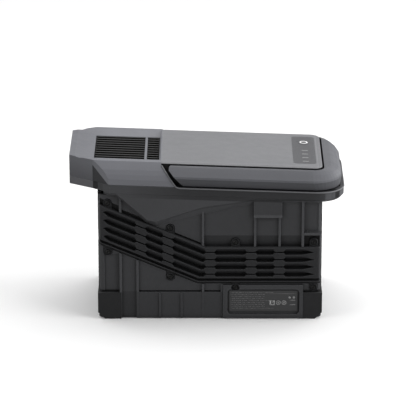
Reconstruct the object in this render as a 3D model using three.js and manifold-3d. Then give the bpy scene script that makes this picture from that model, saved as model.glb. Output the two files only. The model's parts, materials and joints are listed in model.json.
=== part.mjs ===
// Portable power station: a deep battery box under a wider cap with a swing-up carrying handle.
//
// Units are millimetres. +X is to the right, +Y to the back and +Z up. The origin is on the ground under the
// middle of the object: the parts are laid out from a line close by, and then moved together at the end.
// The cap falls gently from left to right: cap parts are drawn level and then sheared, so that every cap
// height below is the height over x = 0.
import * as THREE from "three";
import { mergeVertices } from "three/addons/utils/BufferGeometryUtils.js";
import Module from "manifold-3d";

const wasm = await Module();
wasm.setup();

// ---------------------------------------------------------------- driving dimensions

const GAP = 0.3; // between separate pieces that touch
const ROUND = 6; // half the steps in a quarter turn of the large corners
const FRONT = -1; // side signs along Y
const REAR = 1;
const SIDES = { front: FRONT, rear: REAR };

// Battery box.
const BOX = { left: -108, right: 112, half: 58, corner: 6, bottom: 1 };
const BOX_MID = (BOX.left + BOX.right) / 2;
const CAVITY = { left: -105, right: 109, half: 53, floor: 4 };
const SUMP = { left: -103, right: 107, top: 30 }; // the cavity is narrower between the feet
const RIB = 1.5; // how far moulded ribs stand off the wall
const RECESS = 1.1; // depth of the shallow wall panels
const POCKET = 3; // depth of the screw pockets and of the channels along the rib band
const LEDGE = { left: -4, right: 92.5, bottom: 74.5, top: 87.3, inner: 55 };

// Zigzag rib band: it runs down to a bend, then level. Offsets are square to its centre line.
const BAND = { z: 58.8, bend: -6, angle: THREE.MathUtils.degToRad(23), left: -106, right: 110 };
const BAND_TOP = 17;
const BAND_FOOT = -20;
const SEAM = -21.3;
const SEAM_HALF = 0.8;
const BAND_BACK = 55.8;
const BAND_FACE = 60.8;
const GROOVE = { depth: 3.4, wide: 2.3, narrow: 0.45, pitch: 7.67, left: -104, right: 107, ramp: 2.5 };
const PADS = [-66, -39.4, 2, 42.4, 70]; // centres of the places where the grooves pinch
const PAD_HALF = 5;

// Screws that hold the rib guards, as [x, over the band or under the seam].
const SCREW_COLUMNS = [-98.5, -37, 27, 104];
const SCREW = { away: 4.6, head: 2.6, headHeight: 1.6, shank: 1.4, length: 6.4, tab: 4.3, tabFace: 58 };

// Feet.
const FOOT = { height: 27.4, length: 22, depth: 22, wrap: 2.6, out: 0.8, chamfer: 7, sole: 3.5 };

// Cap.
const CAP_FALL = Math.tan(THREE.MathUtils.degToRad(2));
const CAP = { left: -136, right: 133.7, half: 62.5, corner: 28, top: 159.6 };
const CAP_FACET = { endHalf: 39, x: -112.6, half: 52, shoulder: -96 };
const RIM = { bottom: 126.5, belly: 129.5, ledge: 136.8, top: 137.7, leftBottom: 130.2, draft: 2 };
const SPLIT = 138; // underside of the top cover
const DECK = { left: -45.6, right: 112, half: 53, corner: 9, wall: 2.5, top: 156.8 };
// Section of the cap's long shoulders from the flat top down to the rim: [distance from the middle, height].
const SHOULDER = [
  [52.3, 159.6],
  [53.7, 157.9],
  [55.6, 155.5],
  [58, 152.3],
  [60.2, 148],
  [61.8, 143.5],
  [62.5, 138],
];
const SHOULDER_CUT = { topX: -45.6, bottomX: -31.5 };
const PANEL = { thickness: 2.5, edge: 3, drop: 2.2 };

// Vent.
const VENT = { left: -112, right: -48, half: 35, floor: 156.1, slots: 10, slat: 2.4, deep: 3.4 };
const VENT_BAR = { x: -61.4, half: 1.2 };
const HOPPER = { left: -131, right: -46.5, half: 47.5, corner: 1 };

// Handle.
const HANDLE = { bottom: 138.3, top: 157.2, notch: 130.8, innerGap: 1.3, innerCorner: 10.3, endGap: 2 };
const HANDLE_LEVELS = [
  { z: HANDLE.bottom, half: 60.3, right: 130.4, radius: 29 },
  { z: 146.4, half: 63.3, right: 131.6, radius: 33 },
  { z: 148.4, half: 62.9, right: 131.4, radius: 33 },
  { z: 153.2, half: 59, right: 128, radius: 29 },
  { z: 156.2, half: 56.4, right: 124, radius: 25 },
  { z: HANDLE.top, half: 55.2, right: 121, radius: 21 },
];
const ARM_END = { foot: -22.8, knee: { x: -27.6, z: 141.6 }, tip: { x: -38.3, z: 153.6 }, top: -35.5 };
const PIVOT = { x: -32.5, z: 153.5, pin: 1.8, reach: 55.8 };

// Port door on the left end.
const DOOR = { half: 34.5, bottom: 140.6, top: 154.4, thickness: 2.2, pin: 0.8, barrel: 1.5 };

// Control area on the top panel.
const OVERLAY = { left: 83.8, right: 106.3, half: 42, corner: 4, thickness: 0.8 };
const BUTTON = { x: 95.6, y: 24, radius: 6.2, ringOuter: 4.1, ringInner: 2.8, deep: 5, proud: 0.25 };
const LEDS = { x: 96, first: -1, pitch: -11.2, count: 4, length: 5.8, width: 2.4 };

// Battery.
const CELL = { radius: 10.5, length: 70, pitch: 22.5, columns: 8, rows: 4, bottom: 15 };
const HOLDER = { thickness: 6, inset: 0.5, margin: 2 };
const FAN = { x: -80, size: 60, thickness: 15, bottom: 139, bore: 28, hub: 11, blades: 7 };

// ---------------------------------------------------------------- materials

const plastic = (color, roughness) => new THREE.MeshStandardMaterial({ color, roughness, metalness: 0 });
const metal = (color, roughness) => new THREE.MeshStandardMaterial({ color, roughness, metalness: 0.9 });
const MATERIALS = {
  box: plastic(0x37393b, 0.62),
  cap: plastic(0x6e7073, 0.5),
  panel: plastic(0x8a8c8e, 0.45),
  handle: plastic(0x5c5e62, 0.5),
  grille: plastic(0x2a2b2c, 0.7),
  overlay: plastic(0x6a6b70, 0.35),
  rubber: plastic(0x242526, 0.85),
  light: plastic(0xe8eaec, 0.3),
  label: plastic(0x4a4b4d, 0.6),
  steel: metal(0x5a5c5e, 0.4),
  nickel: metal(0xb9bcc0, 0.35),
  cell: plastic(0x2f6f9f, 0.4),
  board: plastic(0x1f5a3a, 0.5),
  port: metal(0x9a9da1, 0.3),
  aluminium: metal(0xa9adb2, 0.4),
};

// ---------------------------------------------------------------- solids

const point = (x, y) => new THREE.Vector2(x, y);

// Closed mesh in, solid out. A mesh that was turned inside out by a mirrored layout is turned back.
function solidOf(geometry) {
  const bare = geometry.index ? geometry.toNonIndexed() : geometry.clone();
  bare.deleteAttribute("normal");
  bare.deleteAttribute("uv");
  const merged = mergeVertices(bare, 1e-4);
  const corners = new Uint32Array(merged.index.array);
  const make = () =>
    new wasm.Manifold(
      new wasm.Mesh({ numProp: 3, vertProperties: merged.attributes.position.array, triVerts: corners }),
    );
  const solid = make();
  if (solid.volume() > 0) return solid;
  for (let i = 0; i < corners.length; i += 3) {
    [corners[i + 1], corners[i + 2]] = [corners[i + 2], corners[i + 1]];
  }
  return make();
}

function geometryOf(solid) {
  const mesh = solid.getMesh();
  const positions = new Float32Array(mesh.numVert * 3);
  for (let i = 0; i < mesh.numVert; i++) {
    positions.set(mesh.vertProperties.subarray(i * mesh.numProp, i * mesh.numProp + 3), i * 3);
  }
  const geometry = new THREE.BufferGeometry();
  geometry.setAttribute("position", new THREE.BufferAttribute(positions, 3));
  geometry.setIndex(new THREE.BufferAttribute(mesh.triVerts, 1));
  return geometry;
}

const joined = (...solids) => solids.reduce((a, b) => a.add(b));
const without = (solid, ...cuts) => cuts.reduce((a, b) => a.subtract(b), solid);
const between = (a, b) => [Math.min(a, b), Math.max(a, b)];

function box(x0, x1, y0, y1, z0, z1) {
  const [ya, yb] = between(y0, y1);
  const geometry = new THREE.BoxGeometry(x1 - x0, yb - ya, z1 - z0);
  return solidOf(geometry.translate((x0 + x1) / 2, (ya + yb) / 2, (z0 + z1) / 2));
}

// A solid between outlines stacked along an axis. Each level is { at, points }, with one point count for all.
// Along z the outlines are (x, y); along y they are (x, z); along x they are (y, z).
function loft(outlines, axis = "z") {
  const clockwise = THREE.ShapeUtils.isClockWise(outlines[0].points);
  const turned = (points) => (clockwise ? [...points].reverse() : points);
  const levels = outlines.map(({ at, points }) => ({ at, points: turned(points) }));
  const place = {
    z: (p, at) => [p.x, p.y, at],
    y: (p, at) => [p.x, at, p.y],
    x: (p, at) => [at, p.x, p.y],
  }[axis];
  const count = levels[0].points.length;
  const corner = (k, i) => place(levels[k].points[i % count], levels[k].at);
  const positions = [];
  for (let k = 0; k + 1 < levels.length; k++) {
    for (let i = 0; i < count; i++) {
      const [a, b, c, d] = [corner(k, i), corner(k, i + 1), corner(k + 1, i + 1), corner(k + 1, i)];
      positions.push(...a, ...b, ...c, ...a, ...c, ...d);
    }
  }
  const last = levels.length - 1;
  for (const [a, b, c] of THREE.ShapeUtils.triangulateShape(levels[0].points, [])) {
    positions.push(...corner(0, c), ...corner(0, b), ...corner(0, a));
  }
  for (const [a, b, c] of THREE.ShapeUtils.triangulateShape(levels[last].points, [])) {
    positions.push(...corner(last, a), ...corner(last, b), ...corner(last, c));
  }
  const geometry = new THREE.BufferGeometry();
  geometry.setAttribute("position", new THREE.Float32BufferAttribute(positions, 3));
  return solidOf(geometry);
}

function prism(points, from, to, axis = "z") {
  const [low, high] = between(from, to);
  return loft([{ at: low, points }, { at: high, points }], axis);
}

function cylinder(radius, from, to, axis, [u, v], segments = 16) {
  const circle = new THREE.Path().absarc(u, v, radius, 0, Math.PI * 2).getSpacedPoints(segments).slice(0, -1);
  return prism(circle, from, to, axis);
}

// A rectangle with rounded right and left corners.
function roundedRectangle(left, right, bottom, top, radius, segments = 3) {
  const shape = new THREE.Shape();
  shape.absarc(right - radius, bottom + radius, radius, -Math.PI / 2, 0);
  shape.absarc(right - radius, top - radius, radius, 0, Math.PI / 2);
  shape.absarc(left + radius, top - radius, radius, Math.PI / 2, Math.PI);
  shape.absarc(left + radius, bottom + radius, radius, Math.PI, Math.PI * 1.5);
  return withoutRepeats(shape.getPoints(segments));
}

// A bar with a square left end and two rounded right corners.
function tongue(left, right, half, radius, segments = 3) {
  const shape = new THREE.Shape();
  shape.absarc(right - radius, -half + radius, radius, -Math.PI / 2, 0);
  shape.absarc(right - radius, half - radius, radius, 0, Math.PI / 2);
  shape.lineTo(left, half);
  shape.lineTo(left, -half);
  return withoutRepeats(shape.getPoints(segments));
}

function withoutRepeats(points) {
  return points.filter((p, i) => p.distanceTo(points[(i + 1) % points.length]) > 1e-6);
}

const FALL = new THREE.Matrix4().set(1, 0, 0, 0, 0, 1, 0, 0, -CAP_FALL, 0, 1, 0, 0, 0, 0, 1);
const fallen = (solid) => solidOf(geometryOf(solid).applyMatrix4(FALL));
const capHeight = (level, x) => level - CAP_FALL * x;

// ---------------------------------------------------------------- zigzag band

// Height of the line that keeps a given offset from the band's centre line.
function bandHeight(x, offset) {
  const level = BAND.z + offset;
  const sloping = BAND.z + offset / Math.cos(BAND.angle) + Math.tan(BAND.angle) * (BAND.bend - x);
  return Math.max(level, sloping);
}

function bendOf(offset) {
  return BAND.bend + (offset * (1 / Math.cos(BAND.angle) - 1)) / Math.tan(BAND.angle);
}

// Outline in (x, z) between two offsets of the band, from left to right.
function bandOutline(left, right, low, high) {
  const places = (offset) => [left, bendOf(offset), right].filter((x) => x >= left && x <= right);
  const line = (offset) => places(offset).map((x) => point(x, bandHeight(x, offset)));
  return [...line(low), ...line(high).reverse()];
}

// Everything under, or over, an offset of the band.
function bandHalfSpace(offset, limit) {
  const [left, right] = [BOX.left - 40, BOX.right + 40];
  const end = bandHeight(BOX.left, offset); // level beyond the left end of the box
  const line = [point(left, end), point(BOX.left, end), point(bendOf(offset), BAND.z + offset)];
  line.push(point(right, BAND.z + offset));
  return prism([point(left, limit), ...line, point(right, limit)], -80, 80, "y");
}

// Half width of a groove: wide between pads, pinched at each pad, and tapering to a point at both ends.
function grooveStations() {
  const stations = [{ x: GROOVE.left, half: GROOVE.narrow }];
  for (const pad of PADS) {
    stations.push({ x: pad - PAD_HALF - GROOVE.ramp, half: GROOVE.wide });
    stations.push({ x: pad - PAD_HALF, half: GROOVE.narrow });
    stations.push({ x: pad + PAD_HALF, half: GROOVE.narrow });
    stations.push({ x: pad + PAD_HALF + GROOVE.ramp, half: GROOVE.wide });
  }
  stations.push({ x: GROOVE.right, half: GROOVE.narrow });
  return stations;
}

function groove(side, offset) {
  const stations = grooveStations();
  const bend = { x: bendOf(offset), half: GROOVE.wide };
  const after = stations.findIndex((s) => s.x > bend.x);
  if (stations[after].half === GROOVE.wide || stations[after - 1].half === GROOVE.wide) {
    stations.splice(after, 0, bend);
  }
  const edge = (sign) => stations.map((s) => point(s.x, bandHeight(s.x, offset + sign * s.half)));
  const outline = [...edge(-1), ...edge(1).reverse()];
  return prism(outline, side * (BAND_FACE - GROOVE.depth), side * (BAND_FACE + 1), "y");
}

// The eight screw places of one side.
function screwPlaces() {
  const over = SCREW_COLUMNS.map((x) => [x, bandHeight(x, BAND_TOP) + SCREW.away]);
  const under = SCREW_COLUMNS.map((x) => [x, bandHeight(x, SEAM) - SCREW.away]);
  return [...over, ...under];
}

// The rib guard's outline as a solid: the band and its eight screw tabs, grown all round by a clearance.
function guardEnvelope(side, clearance) {
  const outline = bandOutline(
    BAND.left - clearance,
    BAND.right + clearance,
    BAND_FOOT - clearance,
    BAND_TOP + clearance,
  );
  const back = side * (BAND_BACK - clearance);
  const plate = prism(outline, back, side * BAND_FACE, "y");
  const tabs = screwPlaces().map(([x, z], i) => {
    const over = i < SCREW_COLUMNS.length;
    const radius = SCREW.tab + clearance;
    const face = side * SCREW.tabFace;
    const inward = over ? bandHeight(x, BAND_TOP - 2) : bandHeight(x, BAND_FOOT + 2);
    const [low, high] = between(z, inward);
    return joined(
      cylinder(radius, back, face, "y", [x, z], 12),
      box(x - radius, x + radius, back, face, low, high),
    );
  });
  return joined(plate, ...tabs);
}

function ribGuard(side) {
  const grooves = [-1.5, -0.5, 0.5, 1.5].map((n) => groove(side, n * GROOVE.pitch));
  const footGroove = prism(
    bandOutline(BAND.left + 4, BAND.right - 4, BAND_FOOT + 1.2, BAND_FOOT + 3.4),
    side * (BAND_FACE - GROOVE.depth),
    side * (BAND_FACE + 1),
    "y",
  );
  const holes = screwPlaces().map(([x, z]) =>
    cylinder(SCREW.shank + GAP, side * 50, side * 70, "y", [x, z], 8),
  );
  return without(guardEnvelope(side, 0), ...grooves, footGroove, ...holes);
}

// ---------------------------------------------------------------- battery box

function boxBlock() {
  return prism(roundedRectangle(BOX.left, BOX.right, -BOX.half, BOX.half, BOX.corner), BOX.bottom, RIM.belly);
}

function boxCavity() {
  return joined(
    box(CAVITY.left, CAVITY.right, -CAVITY.half, CAVITY.half, SUMP.top, 200),
    box(SUMP.left, SUMP.right, -CAVITY.half, CAVITY.half, CAVITY.floor, SUMP.top + 1),
  );
}

// A moulded bar on the front or rear wall.
function wallBar(side, x0, x1, z0, z1, out = RIB) {
  return box(x0, x1, side * (BOX.half - 1), side * (BOX.half + out), z0, z1);
}

function screwBosses(side) {
  return joined(
    ...screwPlaces().map(([x, z]) =>
      cylinder(3.4, side * (CAVITY.half - 3), side * (CAVITY.half + 1), "y", [x, z], 8),
    ),
  );
}

// Holes for the shanks, with room outside the wall for the heads.
function screwHoles(side) {
  return joined(
    ...screwPlaces().map(([x, z]) =>
      joined(
        cylinder(SCREW.shank + GAP, side * 45, side * 70, "y", [x, z], 8),
        cylinder(SCREW.tab, side * SCREW.tabFace, side * 70, "y", [x, z], 12),
      ),
    ),
  );
}

// A corner foot, and with a clearance the space that it needs in the box.
function footBlock(endSign, side, clearance) {
  const end = endSign < 0 ? BOX.left : BOX.right;
  const outX = end + endSign * FOOT.out;
  const inX = end - endSign * (FOOT.length + clearance);
  const outY = BOX.half + 2;
  const profile = [
    point(inX, 0),
    point(outX - endSign * FOOT.chamfer, 0),
    point(outX, FOOT.chamfer),
    point(outX, FOOT.height + clearance),
    point(inX, FOOT.height + clearance),
  ];
  return prism(profile, side * (outY - FOOT.depth - clearance), side * outY, "y");
}

function footCore(endSign, side, clearance) {
  const end = endSign < 0 ? BOX.left : BOX.right;
  const face = end - endSign * (FOOT.wrap - clearance);
  const inner = end - endSign * 40;
  const [x0, x1] = between(face, inner);
  return box(x0, x1, side * 10, side * (BOX.half - FOOT.wrap + clearance), FOOT.sole - clearance, 60);
}

function foot(endSign, side) {
  return without(footBlock(endSign, side, 0), footCore(endSign, side, GAP));
}

// Mouldings on the wall under the seam.
function lowerRelief(side) {
  const bars = [
    wallBar(side, -87, -85, BOX.bottom, 74),
    wallBar(side, -70.5, -68.5, BOX.bottom, 66),
    wallBar(side, -5.9, -3.9, BOX.bottom, 38),
    wallBar(side, 12.8, 15, BOX.bottom, 36),
    wallBar(side, -68.5, 15, BOX.bottom, 28.2, 1.2), // the lower wall stands forward as a ledge
    ...[-47.5, -26.2].map((x) => wallBar(side, x - 0.9, x + 0.9, BOX.bottom, 27, 2)),
  ];
  const window = prism(roundedRectangle(19, 90.4, 5, 31.5, 4), side * (BOX.half + 0.6), side * 70, "y");
  const frame = without(wallBar(side, 15, 93.6, BOX.bottom, 35.8, 2.6), window);
  return joined(...bars, frame);
}

// A panel over the left foot, a groove over the lower ledge and slots over the feet.
function lowerRecesses(side) {
  const cut = (x0, x1, z0, z1, depth) => box(x0, x1, side * (BOX.half - depth), side * 70, z0, z1);
  return joined(
    cut(-102, -87.5, FOOT.height, 68, RECESS),
    cut(-68, -6.5, 28.2, 29.8, 2),
    cut(-3.3, 12.4, 28.2, 29.8, 2),
    cut(-105, -87.5, FOOT.height, FOOT.height + 1.8, POCKET),
    cut(94.2, 109, FOOT.height, FOOT.height + 1.8, POCKET),
  );
}

// Upright ribs on both end walls. Each span is [lowest z, highest z].
function endRibs(leftSpan, rightSpan) {
  const rib = (x, y, [low, high]) => box(x - 1, x + 1, y - 1, y + 1, low, high);
  const ribs = [-30, -10, 10, 30].flatMap((y) => [rib(BOX.left, y, leftSpan), rib(BOX.right, y, rightSpan)]);
  return joined(...ribs);
}

// A shallow panel under the box, crossed by two ribs.
function baseRecess() {
  const panel = box(-76, 80, -34, 34, BOX.bottom - 1, BOX.bottom + 0.8);
  const ribs = [-25, 29].map((x) => box(x - 2, x + 2, -34, 34, BOX.bottom - 1, BOX.bottom + 1));
  return without(panel, ...ribs);
}

function lowerHousing() {
  const plain = without(boxBlock(), lowerRecesses(FRONT), lowerRecesses(REAR));
  const ribs = endRibs([BOX.bottom, 72], [BOX.bottom, 34]);
  const outside = joined(plain, lowerRelief(FRONT), lowerRelief(REAR), ribs);
  const hollow = without(outside, boxCavity(), baseRecess());
  const corners = [-1, 1].flatMap((end) => Object.values(SIDES).map((side) => [end, side]));
  const notched = corners.reduce((solid, [end, side]) => {
    const space = without(footBlock(end, side, GAP), footCore(end, side, 0));
    return solid.subtract(space);
  }, hollow);
  const bossed = joined(notched, screwBosses(FRONT), screwBosses(REAR));
  const under = bossed.intersect(bandHalfSpace(SEAM - SEAM_HALF, -50));
  return without(
    under,
    guardEnvelope(FRONT, GAP),
    guardEnvelope(REAR, GAP),
    screwHoles(FRONT),
    screwHoles(REAR),
  );
}

function gasket() {
  const ring = without(
    prism(roundedRectangle(BOX.left + 0.8, BOX.right - 0.8, -57.2, 57.2, BOX.corner), 20, 100),
    box(CAVITY.left, CAVITY.right, -CAVITY.half, CAVITY.half, 0, 120),
  );
  const strip = ring
    .intersect(bandHalfSpace(SEAM + SEAM_HALF - GAP, -50))
    .intersect(bandHalfSpace(SEAM - SEAM_HALF + GAP, 200));
  return without(strip, guardEnvelope(FRONT, GAP), guardEnvelope(REAR, GAP));
}

// The cap's plan at one height: a faceted left end, straight sides and two round right corners.
function paddle({ half = CAP.half, right = CAP.right, radius = CAP.corner, inset = 0 }) {
  const front = [
    point(CAP.left + inset, -CAP_FACET.endHalf),
    point(CAP_FACET.x, -CAP_FACET.half + inset),
    point(CAP_FACET.shoulder, -half),
  ];
  const shape = new THREE.Shape();
  shape.absarc(right - radius, -half + radius, radius, -Math.PI / 2, 0);
  shape.absarc(right - radius, half - radius, radius, 0, Math.PI / 2);
  const rear = front.map((p) => point(p.x, -p.y)).reverse();
  return [...front, ...withoutRepeats([...shape.getPoints(ROUND), ...rear])];
}

// The smooth flare that carries the rim down into the wall, ending in a point on the band.
function flare(side) {
  const face = [
    [-99, 140],
    [-59, 104.5],
    [-51, 103],
    [-5, 118.5],
    [44, 126],
    [96, 126],
    [96, 140],
  ];
  const foot = [
    [-103, 140],
    [-60, 100],
    [-51, 97],
    [-3, 109.5],
    [44, 119.5],
    [96, 121],
    [96, 140],
  ];
  const points = (list) => list.map(([x, z]) => point(x, z));
  const shape = loft(
    [
      { at: side * BOX.half, points: points(foot) },
      { at: side * (CAP.half - 0.4), points: points(face) },
    ],
    "y",
  );
  return shape.subtract(fallen(box(-200, 200, -100, 100, RIM.ledge - 2, 300)));
}

// Over the level stretch of the band the wall slopes in, and at the right corner it is recessed.
function upperRecesses(side) {
  const slope = [
    point(side * (BOX.half + 1), LEDGE.top),
    point(side * BOX.half, LEDGE.top),
    point(side * LEDGE.inner, LEDGE.bottom),
    point(side * (BOX.half + 1), LEDGE.bottom),
  ];
  const [back, out] = [side * (BOX.half - POCKET), side * 70];
  // A channel in the wall along the top edge of the guard.
  const channel = (left, right, width) => {
    return prism(bandOutline(left, right, BAND_TOP - 1, BAND_TOP + width), back, out, "y");
  };
  return joined(
    prism(slope, LEDGE.left, LEDGE.right, "x"),
    box(94.6, 108.5, side * (BOX.half - RECESS), out, 92, 121),
    box(94.6, 110, back, out, LEDGE.bottom, 88),
    channel(-106, -87.4, 6),
    channel(-84.6, -57, 3.4),
    channel(-33, -7, 1.8),
  );
}

// Mouldings on the wall over the band.
function upperRelief(side) {
  const bars = [
    wallBar(side, -87, -85, bandHeight(-86, BAND_TOP), 128),
    wallBar(side, -5.9, -3.9, bandHeight(-5, BAND_TOP), 116),
    ...[46.3, 70.3].map((x) =>
      box(x - 1, x + 1, side * (LEDGE.inner - 0.5), side * (BOX.half + RIB), LEDGE.bottom, 124),
    ),
    box(92, 94, side * (LEDGE.inner - 0.5), side * (BOX.half + 2), LEDGE.bottom, 124),
    wallBar(side, 94, 111, 88, 90.4, 2),
    wallBar(side, 45, 72.5, 107, 128, 3.4), // raised pad under the rim
  ];
  const lip = [point(BOX.half, 107), point(BOX.half + 4.4, 107), point(BOX.half + 4.4, 107.8)];
  lip.push(point(BOX.half + 3.2, 110.4), point(BOX.half, 110.4));
  const padLip = prism(lip.map((p) => point(side * p.x, p.y)), 45, 72.5, "x");
  return joined(...bars, padLip);
}

function rimRing() {
  const foot = paddle({ half: CAP.half - RIM.draft, right: CAP.right - RIM.draft, inset: 1 });
  const tiers = [
    { at: RIM.bottom, points: foot },
    { at: RIM.belly, points: paddle({}) },
    { at: RIM.top, points: paddle({}) },
  ];
  const channel = without(
    box(SHOULDER_CUT.bottomX + 0.5, 140, -80, 80, RIM.ledge, RIM.top + 1),
    prism(tongue(-60, DECK.right, DECK.half, DECK.corner), RIM.ledge - 1, RIM.top + 2),
  );
  return without(
    loft(tiers),
    box(CAP.left - 5, BOX.left + 6, -80, 80, RIM.bottom - 1, RIM.leftBottom), // the left overhang is thinner
    channel,
    box(CAP.left + 3, -100, -CAP_FACET.endHalf + 1, CAP_FACET.endHalf - 1, RIM.leftBottom + 2.5, 145),
    box(DECK.right + 3, CAP.right - 3.5, -40, 40, RIM.bottom + 2.5, 145), // finger space under the handle
  );
}

function upperHousing() {
  const plain = without(boxBlock(), upperRecesses(FRONT), upperRecesses(REAR));
  const ribs = endRibs([84, RIM.bottom], [42, RIM.bottom]);
  const wall = joined(plain, upperRelief(FRONT), upperRelief(REAR), ribs);
  const shell = joined(wall, flare(FRONT), flare(REAR), fallen(rimRing()));
  const hollow = joined(without(shell, boxCavity()), screwBosses(FRONT), screwBosses(REAR));
  const over = hollow.intersect(bandHalfSpace(SEAM + SEAM_HALF, 300));
  return without(
    over,
    guardEnvelope(FRONT, GAP),
    guardEnvelope(REAR, GAP),
    screwHoles(FRONT),
    screwHoles(REAR),
  );
}

// ---------------------------------------------------------------- cap

// Everything outside the shoulder's section, on one side.
function shoulderCut(side) {
  const [topHalf] = SHOULDER[0];
  const [footHalf] = SHOULDER[SHOULDER.length - 1];
  const outline = [
    point(side * topHalf, CAP.top + 20),
    ...SHOULDER.map(([half, z]) => point(side * half, z)),
    point(side * footHalf, SPLIT - 1),
    point(side * (footHalf + 20), SPLIT - 1),
    point(side * (footHalf + 20), CAP.top + 20),
  ];
  return prism(outline, CAP.left - 10, CAP.right + 10, "x");
}

// The space to the right of the slanted end of the shoulders, where the handle lies.
function handleBay() {
  const outline = [
    point(SHOULDER_CUT.topX, CAP.top + 5),
    point(SHOULDER_CUT.topX, DECK.top),
    point(SHOULDER_CUT.bottomX, SPLIT - 1),
    point(CAP.right + 10, SPLIT - 1),
    point(CAP.right + 10, CAP.top + 5),
  ];
  return prism(outline, -CAP.half - 10, CAP.half + 10, "y");
}

// The dished surround of the vent.
function ventHopper() {
  const { left, right, half, corner } = HOPPER;
  const floor = roundedRectangle(VENT.left - 1, VENT.right + 0.5, -VENT.half - 1, VENT.half + 1, corner, 1);
  const mouth = roundedRectangle(left, right, -half, half, corner, 1);
  return loft([
    { at: VENT.floor, points: floor },
    { at: CAP.top + 0.1, points: mouth },
  ]);
}

// The rooms under the cover: ports on the left, fan in the middle, controls on the right.
function coverRooms() {
  const half = DECK.half - DECK.wall;
  const portHalf = CAP_FACET.endHalf - 2;
  return joined(
    box(CAP.left + 5.5, VENT.left + 1, -portHalf, portHalf, SPLIT - 1, 154),
    box(VENT.left, -36, -half, half, SPLIT - 1, 152.5),
    prism(tongue(-43, DECK.right - DECK.wall, half, 5), SPLIT - 1, CAP.top + 10),
  );
}

function topCover() {
  const head = without(prism(paddle({}), SPLIT, CAP.top), shoulderCut(FRONT), shoulderCut(REAR), handleBay());
  const deck = prism(tongue(-60, DECK.right, DECK.half, DECK.corner), SPLIT, DECK.top);
  const opening = box(VENT.left, VENT.right, -VENT.half, VENT.half, 150, CAP.top + 10);
  const body = without(joined(head, deck), ventHopper(), opening, coverRooms());
  return without(body, doorPocket(), ...portWindows(), ...pivotHoles());
}

function topPanel() {
  const plan = (inset) =>
    tongue(DECK.left + GAP, DECK.right - inset, DECK.half - inset, DECK.corner - inset / 2);
  const plate = loft([
    { at: CAP.top - PANEL.thickness, points: plan(0) },
    { at: CAP.top - PANEL.drop, points: plan(0) },
    { at: CAP.top - PANEL.drop / 4, points: plan(PANEL.edge / 2) },
    { at: CAP.top, points: plan(PANEL.edge) },
  ]);
  const seat = prism(
    roundedRectangle(
      OVERLAY.left - GAP,
      OVERLAY.right + GAP,
      -OVERLAY.half - GAP,
      OVERLAY.half + GAP,
      OVERLAY.corner,
    ),
    CAP.top - OVERLAY.thickness,
    CAP.top + 1,
  );
  return without(plate, seat, buttonHole(), ...ledBars(GAP));
}

function ventGrille() {
  const [left, right, half] = [VENT.left + GAP, VENT.right - GAP, VENT.half - GAP];
  const top = VENT.floor - 0.2;
  const plate = box(left, right, -half, half, top - VENT.deep, top);
  const pitch = (2 * half) / VENT.slots;
  const slots = Array.from({ length: VENT.slots }, (_, i) => {
    const y0 = -half + i * pitch + VENT.slat / 2;
    const y1 = y0 + pitch - VENT.slat;
    return joined(
      box(left + 1.2, VENT_BAR.x - VENT_BAR.half, y0, y1, 140, 170),
      box(VENT_BAR.x + VENT_BAR.half, right - 1.2, y0, y1, 140, 170),
    );
  });
  return without(plate, ...slots);
}

// ---------------------------------------------------------------- handle

function pivotHoles() {
  return Object.values(SIDES).map((side) => levelPin(side, PIVOT.pin + GAP, 45, PIVOT.reach + GAP));
}

// The pivot pin is truly level, so in the cap's frame it sits at its own height over x = 0.
function levelPin(side, radius, from, to) {
  const height = PIVOT.z + CAP_FALL * PIVOT.x;
  return cylinder(radius, side * from, side * to, "y", [PIVOT.x, height]);
}

function handle() {
  const outer = loft(
    HANDLE_LEVELS.map(({ z, half, right, radius }) => {
      return { at: z, points: tongue(-60, right, half, radius, ROUND) };
    }),
  );
  const innerHalf = DECK.half + HANDLE.innerGap;
  const inner = prism(tongue(-80, DECK.right + HANDLE.endGap, innerHalf, HANDLE.innerCorner, 4), 130, 170);
  const notch = box(HANDLE.notch, 140, -7, 7, HANDLE_LEVELS[1].z, HANDLE_LEVELS[1].z + 3);
  const side = new THREE.Shape();
  side.moveTo(ARM_END.foot, HANDLE.bottom - 1);
  side.lineTo(150, HANDLE.bottom - 1);
  side.lineTo(150, HANDLE.top + 1);
  side.lineTo(ARM_END.top, HANDLE.top + 1);
  side.lineTo(ARM_END.top, HANDLE.top);
  side.quadraticCurveTo(ARM_END.tip.x, HANDLE.top, ARM_END.tip.x, ARM_END.tip.z);
  side.lineTo(ARM_END.knee.x, ARM_END.knee.z);
  side.quadraticCurveTo(ARM_END.foot - 2, HANDLE.bottom + 0.3, ARM_END.foot, HANDLE.bottom - 1);
  const profile = prism(withoutRepeats(side.getPoints(4)), -80, 80, "y");
  return without(outer.intersect(profile), inner, notch, ...pivotHoles());
}

// ---------------------------------------------------------------- ports and their door

const DOOR_HINGE = { x: CAP.left + DOOR.barrel, z: DOOR.bottom + DOOR.barrel };

function doorPocket() {
  const half = DOOR.half + GAP;
  const [out, low] = [CAP.left - 1, DOOR.bottom - GAP];
  return joined(
    box(out, CAP.left + DOOR.thickness + GAP, -half, half, low, DOOR.top + GAP),
    box(out, CAP.left + 2 * DOOR.barrel + GAP, -half, half, low, DOOR.bottom + 2 * DOOR.barrel + GAP),
    cylinder(DOOR.pin + GAP, -half - 2.1, half + 2.1, "y", [DOOR_HINGE.x, DOOR_HINGE.z], 10),
  );
}

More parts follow.
